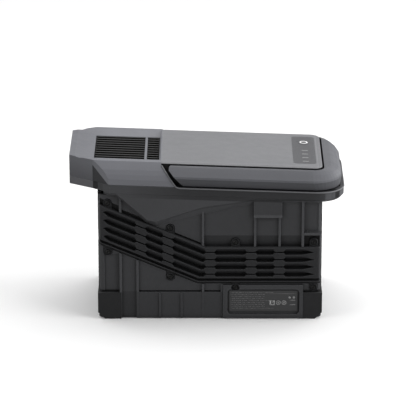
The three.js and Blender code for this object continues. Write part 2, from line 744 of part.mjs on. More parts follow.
function portDoor() {
  const leaf = box(CAP.left, CAP.left + DOOR.thickness, -DOOR.half, DOOR.half, DOOR_HINGE.z, DOOR.top);
  const barrel = cylinder(DOOR.barrel, -DOOR.half, DOOR.half, "y", [DOOR_HINGE.x, DOOR_HINGE.z], 16);
  const notch = box(CAP.left - 1, CAP.left + 1, -6, 6, DOOR.top - 1.6, DOOR.top + 1);
  const bore = cylinder(DOOR.pin + GAP, -60, 60, "y", [DOOR_HINGE.x, DOOR_HINGE.z], 10);
  return without(joined(leaf, barrel), notch, bore);
}

const PORTS = [
  { name: "usb_c_port", y: -23, width: 9.2, height: 3.4, deep: 9 },
  { name: "usb_a_port_1", y: -7, width: 14.4, height: 7, deep: 13 },
  { name: "usb_a_port_2", y: 10.5, width: 14.4, height: 7, deep: 13 },
  { name: "dc_socket", y: 26, width: 9.6, height: 9.6, deep: 11 },
];
const PORT_Z = 148.4;
const PORT_FACE = CAP.left + DOOR.thickness + 1;
const PORT_BOARD_X = -117;

function portBlock({ y, width, height }, from, to, grow) {
  const [dy, dz] = [width / 2 + grow, height / 2 + grow];
  return box(from, to, y - dy, y + dy, PORT_Z - dz, PORT_Z + dz);
}

const portWindows = () => PORTS.map((port) => portBlock(port, CAP.left - 1, CAP.left + 8, GAP));

// A round socket with a centre pin.
function barrelMouth({ y, deep }) {
  return without(
    cylinder(3.4, PORT_FACE - 1, PORT_FACE + deep, "x", [y, PORT_Z], 14),
    cylinder(1, PORT_FACE - 2, PORT_FACE + deep, "x", [y, PORT_Z], 8),
  );
}

// A flat socket with a contact tongue.
function flatMouth(port) {
  const third = port.width / 3;
  return without(
    portBlock(port, PORT_FACE - 1, PORT_FACE + port.deep, -0.7),
    box(PORT_FACE + 0.6, PORT_FACE + port.deep, port.y - third, port.y + third, PORT_Z - 0.5, PORT_Z + 0.5),
  );
}

function portSolid(port) {
  const shell = portBlock(port, PORT_FACE, PORT_BOARD_X - GAP, 0);
  return shell.subtract(port.name === "dc_socket" ? barrelMouth(port) : flatMouth(port));
}

// ---------------------------------------------------------------- controls

function buttonHole() {
  return cylinder(BUTTON.radius + GAP, 140, 170, "z", [BUTTON.x, BUTTON.y], 24);
}

function powerButton() {
  const top = CAP.top + BUTTON.proud;
  const cap = cylinder(BUTTON.radius, top - BUTTON.deep, top, "z", [BUTTON.x, BUTTON.y], 24);
  const stem = cylinder(1.6, top - BUTTON.deep - 2, top - BUTTON.deep + 1, "z", [BUTTON.x, BUTTON.y], 10);
  const seat = without(
    cylinder(BUTTON.ringOuter + GAP, top - 1.2, top + 1, "z", [BUTTON.x, BUTTON.y], 24),
    cylinder(BUTTON.ringInner - GAP, top - 1.4, top + 1, "z", [BUTTON.x, BUTTON.y], 24),
  );
  return joined(cap, stem).subtract(seat);
}

function buttonRing() {
  const top = CAP.top + BUTTON.proud;
  return without(
    cylinder(BUTTON.ringOuter, top - 1.2 + GAP, top, "z", [BUTTON.x, BUTTON.y], 24),
    cylinder(BUTTON.ringInner, top - 2, top + 1, "z", [BUTTON.x, BUTTON.y], 24),
  );
}

function ledBars(grow) {
  return Array.from({ length: LEDS.count }, (_, i) => {
    const y = LEDS.first + i * LEDS.pitch;
    const [dx, dy] = [LEDS.length / 2 + grow, LEDS.width / 2 + grow];
    return box(LEDS.x - dx, LEDS.x + dx, y - dy, y + dy, CAP.top - 4, CAP.top + (grow ? 1 : 0));
  });
}

function ledGuide() {
  const last = LEDS.first + (LEDS.count - 1) * LEDS.pitch;
  const spine = box(LEDS.x - 3, LEDS.x + 3, last - 2, LEDS.first + 2, CAP.top - 6, CAP.top - 3.5);
  return joined(spine, ...ledBars(0));
}

function controlOverlay() {
  const plan = roundedRectangle(OVERLAY.left, OVERLAY.right, -OVERLAY.half, OVERLAY.half, OVERLAY.corner);
  const sheet = prism(plan, CAP.top - OVERLAY.thickness + GAP, CAP.top + 0.1);
  return without(sheet, buttonHole(), ...ledBars(GAP));
}

// ---------------------------------------------------------------- battery and electronics

const cellX = (column) => BOX_MID + (column - (CELL.columns - 1) / 2) * CELL.pitch;
const cellZ = (row) => CELL.bottom + CELL.radius + 0.75 + row * CELL.pitch;
const ROWS = Array.from({ length: CELL.rows }, (_, row) => row);
const COLUMNS = Array.from({ length: CELL.columns }, (_, column) => column);

// Four cells in parallel, welded to a nickel strip at each end. Drawn at x = 0.
function cellGroup() {
  const half = CELL.length / 2;
  const cells = ROWS.map((row) => cylinder(CELL.radius, -half, half, "y", [0, cellZ(row)], 12));
  const strips = Object.values(SIDES).map((side) =>
    box(-4, 4, side * (half - 0.1), side * (half + 0.5), cellZ(0) - 4, cellZ(CELL.rows - 1) + 4),
  );
  return joined(...cells, ...strips);
}

function cellHolder(side) {
  const reach = CELL.pitch / 2 + HOLDER.margin;
  const outer = CELL.length / 2 - HOLDER.inset;
  const plate = box(
    cellX(0) - reach,
    cellX(CELL.columns - 1) + reach,
    side * (outer - HOLDER.thickness),
    side * outer,
    cellZ(0) - reach,
    cellZ(CELL.rows - 1) + reach,
  );
  const [first, last] = [cellX(0), cellX(CELL.columns - 1)];
  const reachIn = CELL.radius + GAP;
  const slots = ROWS.map((row) =>
    box(first - reachIn, last + reachIn, -60, 60, cellZ(row) - reachIn, cellZ(row) + reachIn),
  );
  return without(plate, ...slots);
}

const BOARD_Z = 113;

function mainBoard() {
  const board = box(-88, 92, -45, 45, BOARD_Z, BOARD_Z + 1.6);
  const parts = [
    box(-78, -52, -36, -12, BOARD_Z + 1, BOARD_Z + 9), // transformer
    box(-78, -60, 8, 26, BOARD_Z + 1, BOARD_Z + 10), // inductor
    box(40, 78, -36, -22, BOARD_Z + 1, BOARD_Z + 6),
    ...[0, 14, 28].map((x) => cylinder(5, BOARD_Z + 1, BOARD_Z + 11, "z", [x + 42, 24], 12)),
  ];
  return joined(board, ...parts);
}

function heatSink() {
  const base = box(-34, 26, -24, 24, BOARD_Z + 2, BOARD_Z + 5);
  const fins = Array.from({ length: 8 }, (_, i) => {
    const y = -23 + i * 6.4;
    return box(-34, 26, y, y + 1.4, BOARD_Z + 4, BOARD_Z + 13);
  });
  return joined(base, ...fins);
}

function fanFrame() {
  const half = FAN.size / 2;
  const frame = box(FAN.x - half, FAN.x + half, -half, half, FAN.bottom, FAN.bottom + FAN.thickness);
  const bore = cylinder(FAN.bore, 100, 200, "z", [FAN.x, 0], 28);
  const strut = joined(
    box(FAN.x - half + 1, FAN.x + half - 1, -1.2, 1.2, FAN.bottom, FAN.bottom + 2),
    cylinder(FAN.hub, FAN.bottom, FAN.bottom + 2, "z", [FAN.x, 0], 16),
  );
  const post = cylinder(1.4, FAN.bottom + 1, FAN.bottom + 6, "z", [FAN.x, 0], 10);
  return joined(frame.subtract(bore), strut, post);
}

// Drawn round the origin: it turns about its own vertical axis.
function fanRotor() {
  const [low, high] = [2.6, FAN.thickness - 1];
  const hub = cylinder(FAN.hub, low, high, "z", [0, 0], 16);
  const bladeGeometry = new THREE.BoxGeometry(FAN.bore - FAN.hub, 1.4, 11);
  bladeGeometry.rotateX(0.7).translate((FAN.bore + FAN.hub) / 2 - 1.5, 0, (low + high) / 2);
  const blades = Array.from({ length: FAN.blades }, (_, i) =>
    solidOf(bladeGeometry.clone().rotateZ((i * 2 * Math.PI) / FAN.blades)),
  );
  return joined(hub, ...blades).subtract(cylinder(1.4 + GAP, 0, 7, "z", [0, 0], 10));
}

// A round cable along a smooth curve.
function cable(points, radius) {
  const path = new THREE.CatmullRomCurve3(points.map((p) => new THREE.Vector3(...p)));
  const circle = new THREE.Path().absarc(0, 0, radius, 0, 2 * Math.PI);
  const section = new THREE.Shape(circle.getPoints(4).slice(0, -1));
  return solidOf(new THREE.ExtrudeGeometry(section, { steps: 12, extrudePath: path, bevelEnabled: false }));
}

function screw() {
  const profile = [
    point(0, SCREW.length),
    point(SCREW.shank, SCREW.length - 0.6),
    point(SCREW.shank, 0),
    point(SCREW.head, 0),
    point(SCREW.head, -0.8),
    point(SCREW.head - 0.9, -SCREW.headHeight),
    point(0, -SCREW.headHeight),
  ];
  return solidOf(new THREE.LatheGeometry(profile, 8));
}

// ---------------------------------------------------------------- assembly

const station = new THREE.Group();
station.position.x = -(CAP.left + CAP.right) / 2;
const cap = new THREE.Group(); // sheared: its parts are drawn level
cap.matrixAutoUpdate = false;
cap.matrix.copy(FALL);
station.add(cap);

function add(parent, name, geometry, material) {
  const mesh = new THREE.Mesh(geometry, material);
  mesh.name = name;
  parent.add(mesh);
  return mesh;
}

const place = (parent, name, solid, material) => add(parent, name, geometryOf(solid), material);

place(station, "lower_housing", lowerHousing(), MATERIALS.box);
place(station, "upper_housing", upperHousing(), MATERIALS.box);
place(station, "housing_gasket", gasket(), MATERIALS.rubber);

const screwGeometry = geometryOf(screw());
for (const [sideName, side] of Object.entries(SIDES)) {
  place(station, `${sideName}_rib_guard`, ribGuard(side), MATERIALS.box);
  screwPlaces().forEach(([x, z], i) => {
    const fastener = add(station, `${sideName}_guard_screw_${i + 1}`, screwGeometry, MATERIALS.steel);
    fastener.position.set(x, side * (SCREW.tabFace + GAP), z);
    fastener.rotation.x = side === FRONT ? 0 : Math.PI;
  });
  for (const [endName, endSign] of Object.entries({ left: -1, right: 1 })) {
    place(station, `${sideName}_${endName}_foot`, foot(endSign, side), MATERIALS.rubber);
  }
  place(station, `${sideName}_cell_holder`, cellHolder(side), MATERIALS.grille);
  place(cap, `${sideName}_handle_pin`, levelPin(side, PIVOT.pin, 46, PIVOT.reach), MATERIALS.steel);
}

place(station, "rating_label", box(21, 88.5, -59.2, -58.6 - GAP, 8, 29.5), MATERIALS.label);

place(cap, "top_cover", topCover(), MATERIALS.cap);
place(cap, "top_panel", topPanel(), MATERIALS.panel);
place(cap, "vent_grille", ventGrille(), MATERIALS.grille);
place(cap, "handle", handle(), MATERIALS.handle);
place(cap, "control_overlay", controlOverlay(), MATERIALS.overlay);
place(cap, "power_button", powerButton(), MATERIALS.overlay);
place(cap, "power_button_ring", buttonRing(), MATERIALS.light);
place(cap, "charge_light_guide", ledGuide(), MATERIALS.light);

place(cap, "port_door", portDoor(), MATERIALS.cap);
place(
  cap,
  "port_door_pin",
  cylinder(DOOR.pin, -DOOR.half - 2, DOOR.half + 2, "y", [DOOR_HINGE.x, DOOR_HINGE.z], 10),
  MATERIALS.steel,
);
for (const port of PORTS) place(cap, port.name, portSolid(port), MATERIALS.port);
place(cap, "port_board", box(PORT_BOARD_X, PORT_BOARD_X + 1.6, -34, 34, 139.5, 152), MATERIALS.board);
place(cap, "control_board", box(84, DECK.right - DECK.wall - 1, -44, 44, 149, 150.6), MATERIALS.board);

const cellGeometry = geometryOf(cellGroup());
for (const column of COLUMNS) {
  add(station, `cell_group_${column + 1}`, cellGeometry, MATERIALS.cell).position.x = cellX(column);
}
place(station, "main_board", mainBoard(), MATERIALS.board);
place(station, "heat_sink", heatSink(), MATERIALS.aluminium);
place(station, "fan_frame", fanFrame(), MATERIALS.grille);
add(station, "fan_rotor", geometryOf(fanRotor()), MATERIALS.grille).position.set(FAN.x, 0, FAN.bottom);

const leadStart = cellZ(CELL.rows - 1) + 6;
const lead = (x) =>
  cable(
    [
      [x, 37.8, leadStart - 12],
      [x, 41.5, leadStart - 6],
      [x, 47.5, leadStart + 4],
      [x, 48.8, BOARD_Z + 6],
    ],
    1.6,
  );
place(station, "battery_lead_positive", lead(-80), MATERIALS.rubber);
place(station, "battery_lead_negative", lead(84), MATERIALS.rubber);

export default station;
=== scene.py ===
"""Looks of a portable power station: moulded shells, rib guards, louvres, controls and their materials."""
import json
import math
import random

import bmesh
import bpy
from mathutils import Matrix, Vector


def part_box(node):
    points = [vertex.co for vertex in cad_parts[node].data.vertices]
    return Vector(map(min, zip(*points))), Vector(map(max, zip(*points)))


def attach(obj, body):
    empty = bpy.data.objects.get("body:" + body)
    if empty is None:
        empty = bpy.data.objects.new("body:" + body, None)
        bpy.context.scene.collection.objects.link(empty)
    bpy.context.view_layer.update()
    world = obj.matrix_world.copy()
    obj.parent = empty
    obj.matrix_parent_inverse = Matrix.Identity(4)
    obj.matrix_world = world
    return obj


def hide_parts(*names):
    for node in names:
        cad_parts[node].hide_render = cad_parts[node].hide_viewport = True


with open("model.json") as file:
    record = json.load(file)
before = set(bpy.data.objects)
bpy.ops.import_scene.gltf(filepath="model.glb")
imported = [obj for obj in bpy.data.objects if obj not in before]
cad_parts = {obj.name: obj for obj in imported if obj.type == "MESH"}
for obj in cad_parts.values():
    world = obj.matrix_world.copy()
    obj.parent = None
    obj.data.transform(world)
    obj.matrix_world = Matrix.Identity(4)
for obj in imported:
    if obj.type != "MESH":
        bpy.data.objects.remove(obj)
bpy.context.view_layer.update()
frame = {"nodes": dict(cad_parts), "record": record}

NODES = frame["nodes"]
SLOT_OF = {row["node"]: row["material_slot"] for row in frame["record"]["subparts"]}
MM = 0.001
FRONT, REAR = -1, 1
SIDES = {"front": FRONT, "rear": REAR}
GREEN_SHARE = 0.15  # how much of a grey's extra blue goes to its green as well
LAYOUT = Vector((1.15, 0, 0))  # measurements start at a line this far (mm) right of the object's middle

# Rib band (millimetres): it runs down to a bend and then level; offsets are square to its centre line.
BAND_Z = 58.8
BAND_BEND = -6.0
BAND_ANGLE = math.radians(23)
BAND_LEFT, BAND_RIGHT = -106.0, 110.0
BAND_TOP, BAND_FOOT = 17.0, -20.0
BAND_BACK, BAND_FACE = 55.8, 60.8
GROOVE_PITCH = 7.67
GROOVE_DEPTH = 4.2
GROOVE_WIDE, GROOVE_NARROW = 2.45, 0.6
GROOVE_LEFT, GROOVE_RIGHT = -104.5, 108.0
PADS = (-66.0, -39.4, 2.0, 42.4, 70.0)
PAD_HALF, PAD_RAMP = 4.0, 2.4
LEFT_TAPER, RIGHT_TAPER = 8.0, 18.0

# Screws through the band's lugs (millimetres).
TAB_RADIUS, TAB_FACE, TAB_REACH = 4.2, 58.0, 7.0
SCREW_HEAD, SCREW_HEIGHT, SCREW_BASE, SCREW_SHANK = 2.6, 1.5, 58.3, 1.4

# Cap: drawn level, then lowered in proportion to x.
CAP_FALL = math.tan(math.radians(2))
CAP_TOP = 159.6
DECK_HALF, DECK_LEFT, DECK_RIGHT, DECK_CORNER = 53.0, -45.6, 112.0, 9.0
DECK_LEVEL = 156.9
# Section of the cap's long shoulders: (distance from the middle, height).
SHOULDER = ((54.6, 156.8), (55.6, 155.5), (58.0, 152.3), (60.2, 148.0), (61.8, 143.5), (62.4, 138.9))
SLANT = 0.712  # how far the slanted end of a shoulder moves right for each millimetre down
RIM_LEVEL = 138.9
FACET_FOOT, FACET_LEAN = -98.4, 0.93  # foot of the facets' slanted line, and its run for each millimetre down
RIM_HALF, RIM_RIGHT, RIM_CORNER, BEAD_LEVEL, BEAD_RADIUS = 62.4, 133.6, 28.0, 136.5, 0.75
RIM_BOTTOM, RIM_OVERHANG = 125.0, 129.0
FACET_LEFT, FACET_RIGHT = -112.8, -94.0

# Vent: louvres and a cross bar over a fine grid of dished squares.
VENT_TOP, VENT_SPACES, VENT_BAR, BLADE_DEEP = 155.9, 10, -61.4, 4.4
MESH_LEVEL, MESH_COLUMNS, MESH_ROWS, MESH_GAP, MESH_DIP = VENT_TOP - 4.45, 40, 42, 0.45, 0.7

# Places on the box that take painted shade, or past the left wall the cover's paler grey; from the left wall
# to the right foot.
WALL_LEFT = -112.4
FOOT_RIGHT, FRAME_LEFT, FRAME_RIGHT = -86.8, 14.8, 93.8
SKIRTING_TOP, FRAME_TOP = 28.4, 36.2
BEYOND = 200.0  # further out than any part of the object

PRINT_THICKNESS = 0.06

# Camera: the photograph's viewing angle.
CAMERA_ELEVATION = math.radians(19.5)
CAMERA_DISTANCE = 2.9
CAMERA_TARGET = Vector((0.00115, 0, 0.0952))
CAMERA_LENS, SENSOR = 251.0, 36.0

# Brightness of floor and surroundings, as the camera sees them and as the object is lit by them.
FLOOR_SEEN, FLOOR_FELT = 0.86, 0.32
SKY_SEEN, SKY_FELT = 1.05, 0.34
FLOOR_FADE = (0.45, 1.3)  # metres from the object at which the floor starts and ends turning white


# ---------------------------------------------------------------- materials

def add_node(tree, kind, inputs=None, **properties):
    """A shader node with its properties set and its inputs filled or linked."""
    made = tree.nodes.new(kind)
    for name, value in properties.items():
        setattr(made, name, value)
    for name, value in (inputs or {}).items():
        socket = made.inputs[name]
        if isinstance(value, bpy.types.NodeSocket):
            tree.links.new(value, socket)
        else:
            socket.default_value = value
    return made


def math_node(tree, operation, a, b=0.0):
    """Sum, product, comparison or the like of two values."""
    return add_node(tree, "ShaderNodeMath", {0: a, 1: b}, operation=operation).outputs[0]


def mix_colour(tree, factor, a, b):
    """Colour a where the factor is zero and b where it is one."""
    return add_node(tree, "ShaderNodeMix", {0: factor, 6: a, 7: b}, data_type="RGBA").outputs[2]


def scaled(tree, vector, factor):
    """A vector or a colour times a factor."""
    return add_node(tree, "ShaderNodeVectorMath", {0: vector, "Scale": factor}, operation="SCALE").outputs[0]


def ramp(tree, value, start, end, low=0.0, high=1.0):
    """Low at start, high at end, straight between and level beyond."""
    inputs = {"Value": value, "From Min": start, "From Max": end, "To Min": low, "To Max": high}
    return add_node(tree, "ShaderNodeMapRange", inputs).outputs[0]


def noise(tree, place, scale, detail, roughness=0.5):
    """Cloudy pattern between zero and one."""
    inputs = {"Vector": place, "Scale": scale, "Detail": detail, "Roughness": roughness}
    return add_node(tree, "ShaderNodeTexNoise", inputs).outputs["Fac"]


def add_bump(tree, shader, height, strength, relief_mm):
    """Gives a shader a fine relief."""
    inputs = {"Height": height, "Strength": strength, "Distance": relief_mm * MM}
    tree.links.new(add_node(tree, "ShaderNodeBump", inputs).outputs[0], shader.inputs["Normal"])


def grey(value, blue=0.0):
    """A grey with a share of extra blue."""
    return (value, value * (1 + blue * GREEN_SHARE), value * (1 + blue), 1.0)


def shaded(colour, factor):
    """A colour made brighter or darker."""
    return tuple(min(1.0, c * factor) for c in colour[:3]) + (1.0,)


def new_material(name):
    """A material with its node tree and its shader."""
    material = bpy.data.materials.new(name)
    material.use_nodes = True
    tree = material.node_tree
    shader = tree.nodes["Principled BSDF"]
    return material, tree, shader


def millimetres(tree):
    """Object coordinates in millimetres, in the layout's frame."""
    place = add_node(tree, "ShaderNodeTexCoord").outputs["Object"]
    inputs = {0: scaled(tree, place, 1000.0), 1: LAYOUT}
    return add_node(tree, "ShaderNodeVectorMath", inputs, operation="SUBTRACT").outputs[0]


def edge_mask(tree, radius_mm, gain):
    """Bright on edges, where a slightly rounded normal turns away from the true one."""
    rounded = add_node(tree, "ShaderNodeBevel", {"Radius": radius_mm * MM}, samples=4).outputs[0]
    true = add_node(tree, "ShaderNodeNewGeometry").outputs["Normal"]
    along = add_node(tree, "ShaderNodeVectorMath", {0: rounded, 1: true}, operation="DOT_PRODUCT")
    turned = math_node(tree, "SUBTRACT", 1.0, along.outputs["Value"])
    strong = add_node(tree, "ShaderNodeMath", {0: turned, 1: gain}, operation="MULTIPLY", use_clamp=True)
    return strong.outputs[0]


def separate(tree, vector):
    """The three components of a vector."""
    parts = add_node(tree, "ShaderNodeSeparateXYZ", {0: vector}).outputs
    return parts[0], parts[1], parts[2]


def inside(tree, value, low, high):
    """One where a value lies between two limits, else zero."""
    over = math_node(tree, "GREATER_THAN", value, low)
    return math_node(tree, "MULTIPLY", over, math_node(tree, "LESS_THAN", value, high))


def both(tree, first, second):
    """One where two masks are both one."""
    return math_node(tree, "MULTIPLY", first, second)


def level_of(tree, x, z):
    """Height measured from the sloping cap's own level."""
    return math_node(tree, "ADD", z, math_node(tree, "MULTIPLY", x, CAP_FALL))


def deck_painted_shadow(tree):
    """Painted shadow: the deck under the top panel and the slanted ends of the shoulders, which lie in the
    handle's bay, darkened nearly to black.
    """
    x, y, z = separate(tree, millimetres(tree))
    normal_x, _, _ = separate(tree, add_node(tree, "ShaderNodeNewGeometry").outputs["True Normal"])
    low = inside(tree, level_of(tree, x, z), 0.0, DECK_LEVEL)
    across = inside(tree, y, -DECK_HALF - 0.4, DECK_HALF + 0.4)
    under = both(tree, across, inside(tree, x, DECK_LEFT - 1.4, BEYOND))
    slant = both(tree, inside(tree, normal_x, 0.6, 2.0), inside(tree, x, DECK_LEFT - 14.4, BEYOND))
    return math_node(tree, "MAXIMUM", both(tree, low, under), slant)


def corner_facets(tree):
    """The two upright facets between the long shoulders and the left end."""
    x, _, _ = separate(tree, millimetres(tree))
    normal_x, _, normal_z = separate(tree, add_node(tree, "ShaderNodeNewGeometry").outputs["True Normal"])
    upright = inside(tree, normal_z, -0.2, 0.25)
    corner = both(tree, inside(tree, x, FACET_LEFT, FACET_RIGHT), upright)
    return both(tree, corner, inside(tree, normal_x, -2.0, -0.3))


def facet_foot(tree):
    """The shaded part of the corner facets, under a straight slanted line."""
    x, _, z = separate(tree, millimetres(tree))
    slanted = math_node(tree, "ADD", x, math_node(tree, "MULTIPLY", level_of(tree, x, z), FACET_LEAN))
    under = math_node(tree, "LESS_THAN", slanted, FACET_FOOT + FACET_LEAN * RIM_LEVEL)
    return both(tree, corner_facets(tree), under)


def left_overhang(tree):
    """The part of the rim that hangs out past the left wall."""
    x, _, z = separate(tree, millimetres(tree))
    high = inside(tree, level_of(tree, x, z), RIM_OVERHANG, BEYOND)
    return both(tree, inside(tree, x, -BEYOND, WALL_LEFT - 0.2), high)


def rim_wall_painted_shade(tree):
    """Painted shade on the long upright faces of the rim, darker under the handle than at the left."""
    x, y, z = separate(tree, millimetres(tree))
    far = math_node(tree, "GREATER_THAN", math_node(tree, "ABSOLUTE", y), 61.0)
    face = both(tree, far, inside(tree, level_of(tree, x, z), RIM_BOTTOM, BEAD_LEVEL + 0.4))
    return both(tree, face, ramp(tree, x, -80.0, -20.0))


def right_corner_highlight(tree):
    """Painted highlight on the rim's right end."""
    x, _, z = separate(tree, millimetres(tree))
    rim = inside(tree, level_of(tree, x, z), RIM_BOTTOM, BEAD_LEVEL + 1.5)
    return both(tree, rim, ramp(tree, x, 100.0, 128.0))


def recess_shade_between(low, high):
    """Mask builder for painted shade in recesses: the parts of both long walls that lie between two depths.
    """
    def mask(tree):
        """Painted shade on the walls between the two depths, without the overhang at the left."""
        x, y, _ = separate(tree, millimetres(tree))
        wall = math_node(tree, "GREATER_THAN", x, WALL_LEFT)
        return both(tree, inside(tree, math_node(tree, "ABSOLUTE", y), low, high), wall)
    return mask


def ledge_painted_shade(tree):
    """Painted shade where the wall slopes in over the level stretch of the band."""
    x, y, z = separate(tree, millimetres(tree))
    face = inside(tree, math_node(tree, "ABSOLUTE", y), 54.0, 58.3)
    return both(tree, both(tree, face, inside(tree, z, 74.0, 87.2)), inside(tree, x, -4.0, 92.5))


def skirting_painted_shade(tree):
    """Painted shade on the lower part of the long walls between the left foot and the label frame."""
    x, _, z = separate(tree, millimetres(tree))
    return both(tree, inside(tree, x, FOOT_RIGHT, FRAME_LEFT), inside(tree, z, 0.0, SKIRTING_TOP))


def label_frame_shade(tree):
    """Painted shade on the raised frame round the label."""
    x, _, z = separate(tree, millimetres(tree))
    return both(tree, inside(tree, x, FRAME_LEFT, FRAME_RIGHT), inside(tree, z, 0.0, FRAME_TOP))


def raised_pad_shade(tree):
    """Painted shade on the square pads that stand out under the rim."""
    _, y, z = separate(tree, millimetres(tree))
    proud = inside(tree, math_node(tree, "ABSOLUTE", y), 61.0, 61.6)
    return both(tree, proud, inside(tree, z, 106.0, 126.0))


def over_feet_shadow(tree):
    """Painted shadow in the narrow gap over each foot."""
    x, _, z = separate(tree, millimetres(tree))
    ends = math_node(tree, "SUBTRACT", 1.0, inside(tree, x, -87.2, 94.0))
    return both(tree, ends, inside(tree, z, 27.0, 30.2))


def left_slope_shade(tree):
    """Painted shade on the slope between the vent and the left end, slightly darker."""
    x, _, _ = separate(tree, millimetres(tree))
    return ramp(tree, x, -100.0, -122.0)


def left_end_shade(tree):
    """Painted shade on the lower part of the left end, fading upwards."""
    x, _, z = separate(tree, millimetres(tree))
    fade = ramp(tree, level_of(tree, x, z), 156.0, 140.0)
    return both(tree, inside(tree, x, -BEYOND, FACET_LEFT), fade)


def band_offset(tree):
    """Distance from the rib band's centre line, square to it."""
    x, _, z = separate(tree, millimetres(tree))
    level = math_node(tree, "SUBTRACT", z, BAND_Z)
    run = math_node(tree, "SUBTRACT", BAND_BEND, x)
    over_slope = math_node(tree, "SUBTRACT", level, math_node(tree, "MULTIPLY", run, math.tan(BAND_ANGLE)))
    sloping = math_node(tree, "MULTIPLY", over_slope, math.cos(BAND_ANGLE))
    return math_node(tree, "MINIMUM", level, sloping)


def groove_shade(tree):
    """Painted shade in the grooves of the rib band, darker the deeper they are."""
    _, y, _ = separate(tree, millimetres(tree))
    deep = ramp(tree, math_node(tree, "ABSOLUTE", y), BAND_FACE - 0.6, BAND_FACE - 4.0)
    return both(tree, inside(tree, band_offset(tree), BAND_FOOT + 1.3, BAND_TOP - 1.2), deep)


def screw_lugs(tree):
    """The lugs that stand out over and under the rib band."""
    return math_node(tree, "SUBTRACT", 1.0, inside(tree, band_offset(tree), BAND_FOOT - 0.1, BAND_TOP + 0.1))


def panel_border_shade(tree):
    """Painted shade on the rolled band along three sides of the top panel."""
    x, y, _ = separate(tree, millimetres(tree))
    side = math_node(tree, "GREATER_THAN", math_node(tree, "ABSOLUTE", y), DECK_HALF - 3.8)
    return math_node(tree, "MAXIMUM", side, math_node(tree, "GREATER_THAN", x, DECK_RIGHT - 3.8))


def panel_highlight_line(tree):
    """Painted highlight: a light line where the band meets the flat of the top panel."""
    x, y, _ = separate(tree, millimetres(tree))
    away = math_node(tree, "ABSOLUTE", y)
    side = both(tree, inside(tree, away, DECK_HALF - 4.6, DECK_HALF - 3.8), inside(tree, x, -60.0, 108.2))
    end = both(tree, inside(tree, x, DECK_RIGHT - 4.6, DECK_RIGHT - 3.8), inside(tree, away, -1.0, 49.2))
    return math_node(tree, "MAXIMUM", side, end)


def shoulder_highlight_line(tree):
    """Painted highlight: a light line along the top of the long shoulders."""
    x, y, _ = separate(tree, millimetres(tree))
    top_edge = inside(tree, math_node(tree, "ABSOLUTE", y), 51.4, 52.6)
    return both(tree, top_edge, inside(tree, x, -110.0, -44.0))


def handle_underside_shade(tree):
    """Painted shade on the lower flank of the handle, under its widest line."""
    x, _, z = separate(tree, millimetres(tree))
    return inside(tree, level_of(tree, x, z), 0.0, 146.5)


def painted_cavity_shade(tree, darkest):
    """Painted shade: darker in slots and inner corners, where an occlusion test finds little open sky."""
    open_sky = add_node(tree, "ShaderNodeAmbientOcclusion", {"Distance": 6.0 * MM}, samples=4).outputs["AO"]
    return ramp(tree, open_sky, 0.35, 0.95, darkest, 1.0)


def moulded_plastic(
    name,
    colour,
    roughness,
    grain=2.6,
    relief=0.05,
    edge_wear_and_highlight=1.35,
    mottle=0.10,
    patches=(),
    darkest=0.55,
    shine=0.42,
):
    """Spark-eroded plastic: fine grain, slow colour drift, faint handling marks, paler edges that are partly
    rubbed wear and partly painted highlight, and painted shade in cavities.

    patches holds (mask builder, brightness) pairs, mostly for painted shade and painted highlights, a few for
    another tone of the same plastic.
    """
    material, tree, shader = new_material(name)
    place = millimetres(tree)
    drift = noise(tree, place, 0.018, 3.0, 0.6)
    speck = noise(tree, place, grain, 4.0, 0.65)
    marks = noise(tree, place, 0.09, 6.0, 0.7)
    cells = add_node(tree, "ShaderNodeTexVoronoi", {"Vector": place, "Scale": grain * 0.6}).outputs[0]
    base = mix_colour(tree, drift, shaded(colour, 1 - mottle), shaded(colour, 1 + mottle))
    grained = scaled(tree, base, ramp(tree, speck, 0.3, 0.7, 0.9, 1.1))
    # paler edges: partly rubbed wear, partly painted highlight
    edged = mix_colour(tree, edge_mask(tree, 0.9, 3.0), grained, shaded(colour, edge_wear_and_highlight))
    # painted shade in cavities, then the patches' painted shade and painted highlights
    shade = painted_cavity_shade(tree, darkest)
    for mask, brightness in patches:
        factor = math_node(tree, "MULTIPLY", mask(tree), brightness - 1.0)
        shade = math_node(tree, "MULTIPLY", shade, math_node(tree, "ADD", factor, 1.0))
    tree.links.new(scaled(tree, edged, shade), shader.inputs["Base Color"])
    handled = ramp(tree, marks, 0.35, 0.7, roughness + 0.05, roughness - 0.08)
    tree.links.new(handled, shader.inputs["Roughness"])
    surface = math_node(tree, "ADD", speck, math_node(tree, "MULTIPLY", cells, 0.6))
    add_bump(tree, shader, surface, 0.35, relief)
    shader.inputs["Specular IOR Level"].default_value = shine
    return material


def rubber(name, colour):
    """Matte elastomer with a soft sheen and a pebbled skin."""
    material, tree, shader = new_material(name)
    place = millimetres(tree)
    pebble = add_node(tree, "ShaderNodeTexVoronoi", {"Vector": place, "Scale": 1.5}).outputs[0]
    dusty = mix_colour(tree, noise(tree, place, 0.12, 5.0), colour, shaded(colour, 1.4))
    tree.links.new(dusty, shader.inputs["Base Color"])
    shader.inputs["Roughness"].default_value = 0.78
    shader.inputs["Sheen Weight"].default_value = 0.04
    shader.inputs["Specular IOR Level"].default_value = 0.3
    add_bump(tree, shader, pebble, 0.3, 0.08)
    return material


def metal(name, colour, roughness, brushed=0.0):
    """Plated or brushed metal with fine streaks and slight stains."""
    material, tree, shader = new_material(name)
    place = millimetres(tree)
    stretched = add_node(tree, "ShaderNodeMapping", {"Vector": place, "Scale": (0.4, 6.0, 6.0)}).outputs[0]
    streaks = noise(tree, stretched, 1.0, 4.0)
    stained = mix_colour(tree, noise(tree, place, 0.3, 5.0), shaded(colour, 0.75), colour)
    tree.links.new(stained, shader.inputs["Base Color"])
    shader.inputs["Metallic"].default_value = 1.0
    spread = ramp(tree, streaks, 0.0, 1.0, roughness - 0.08, roughness + 0.12)
    tree.links.new(spread, shader.inputs["Roughness"])
    add_bump(tree, shader, streaks, 0.1 + brushed, 0.03)
    return material


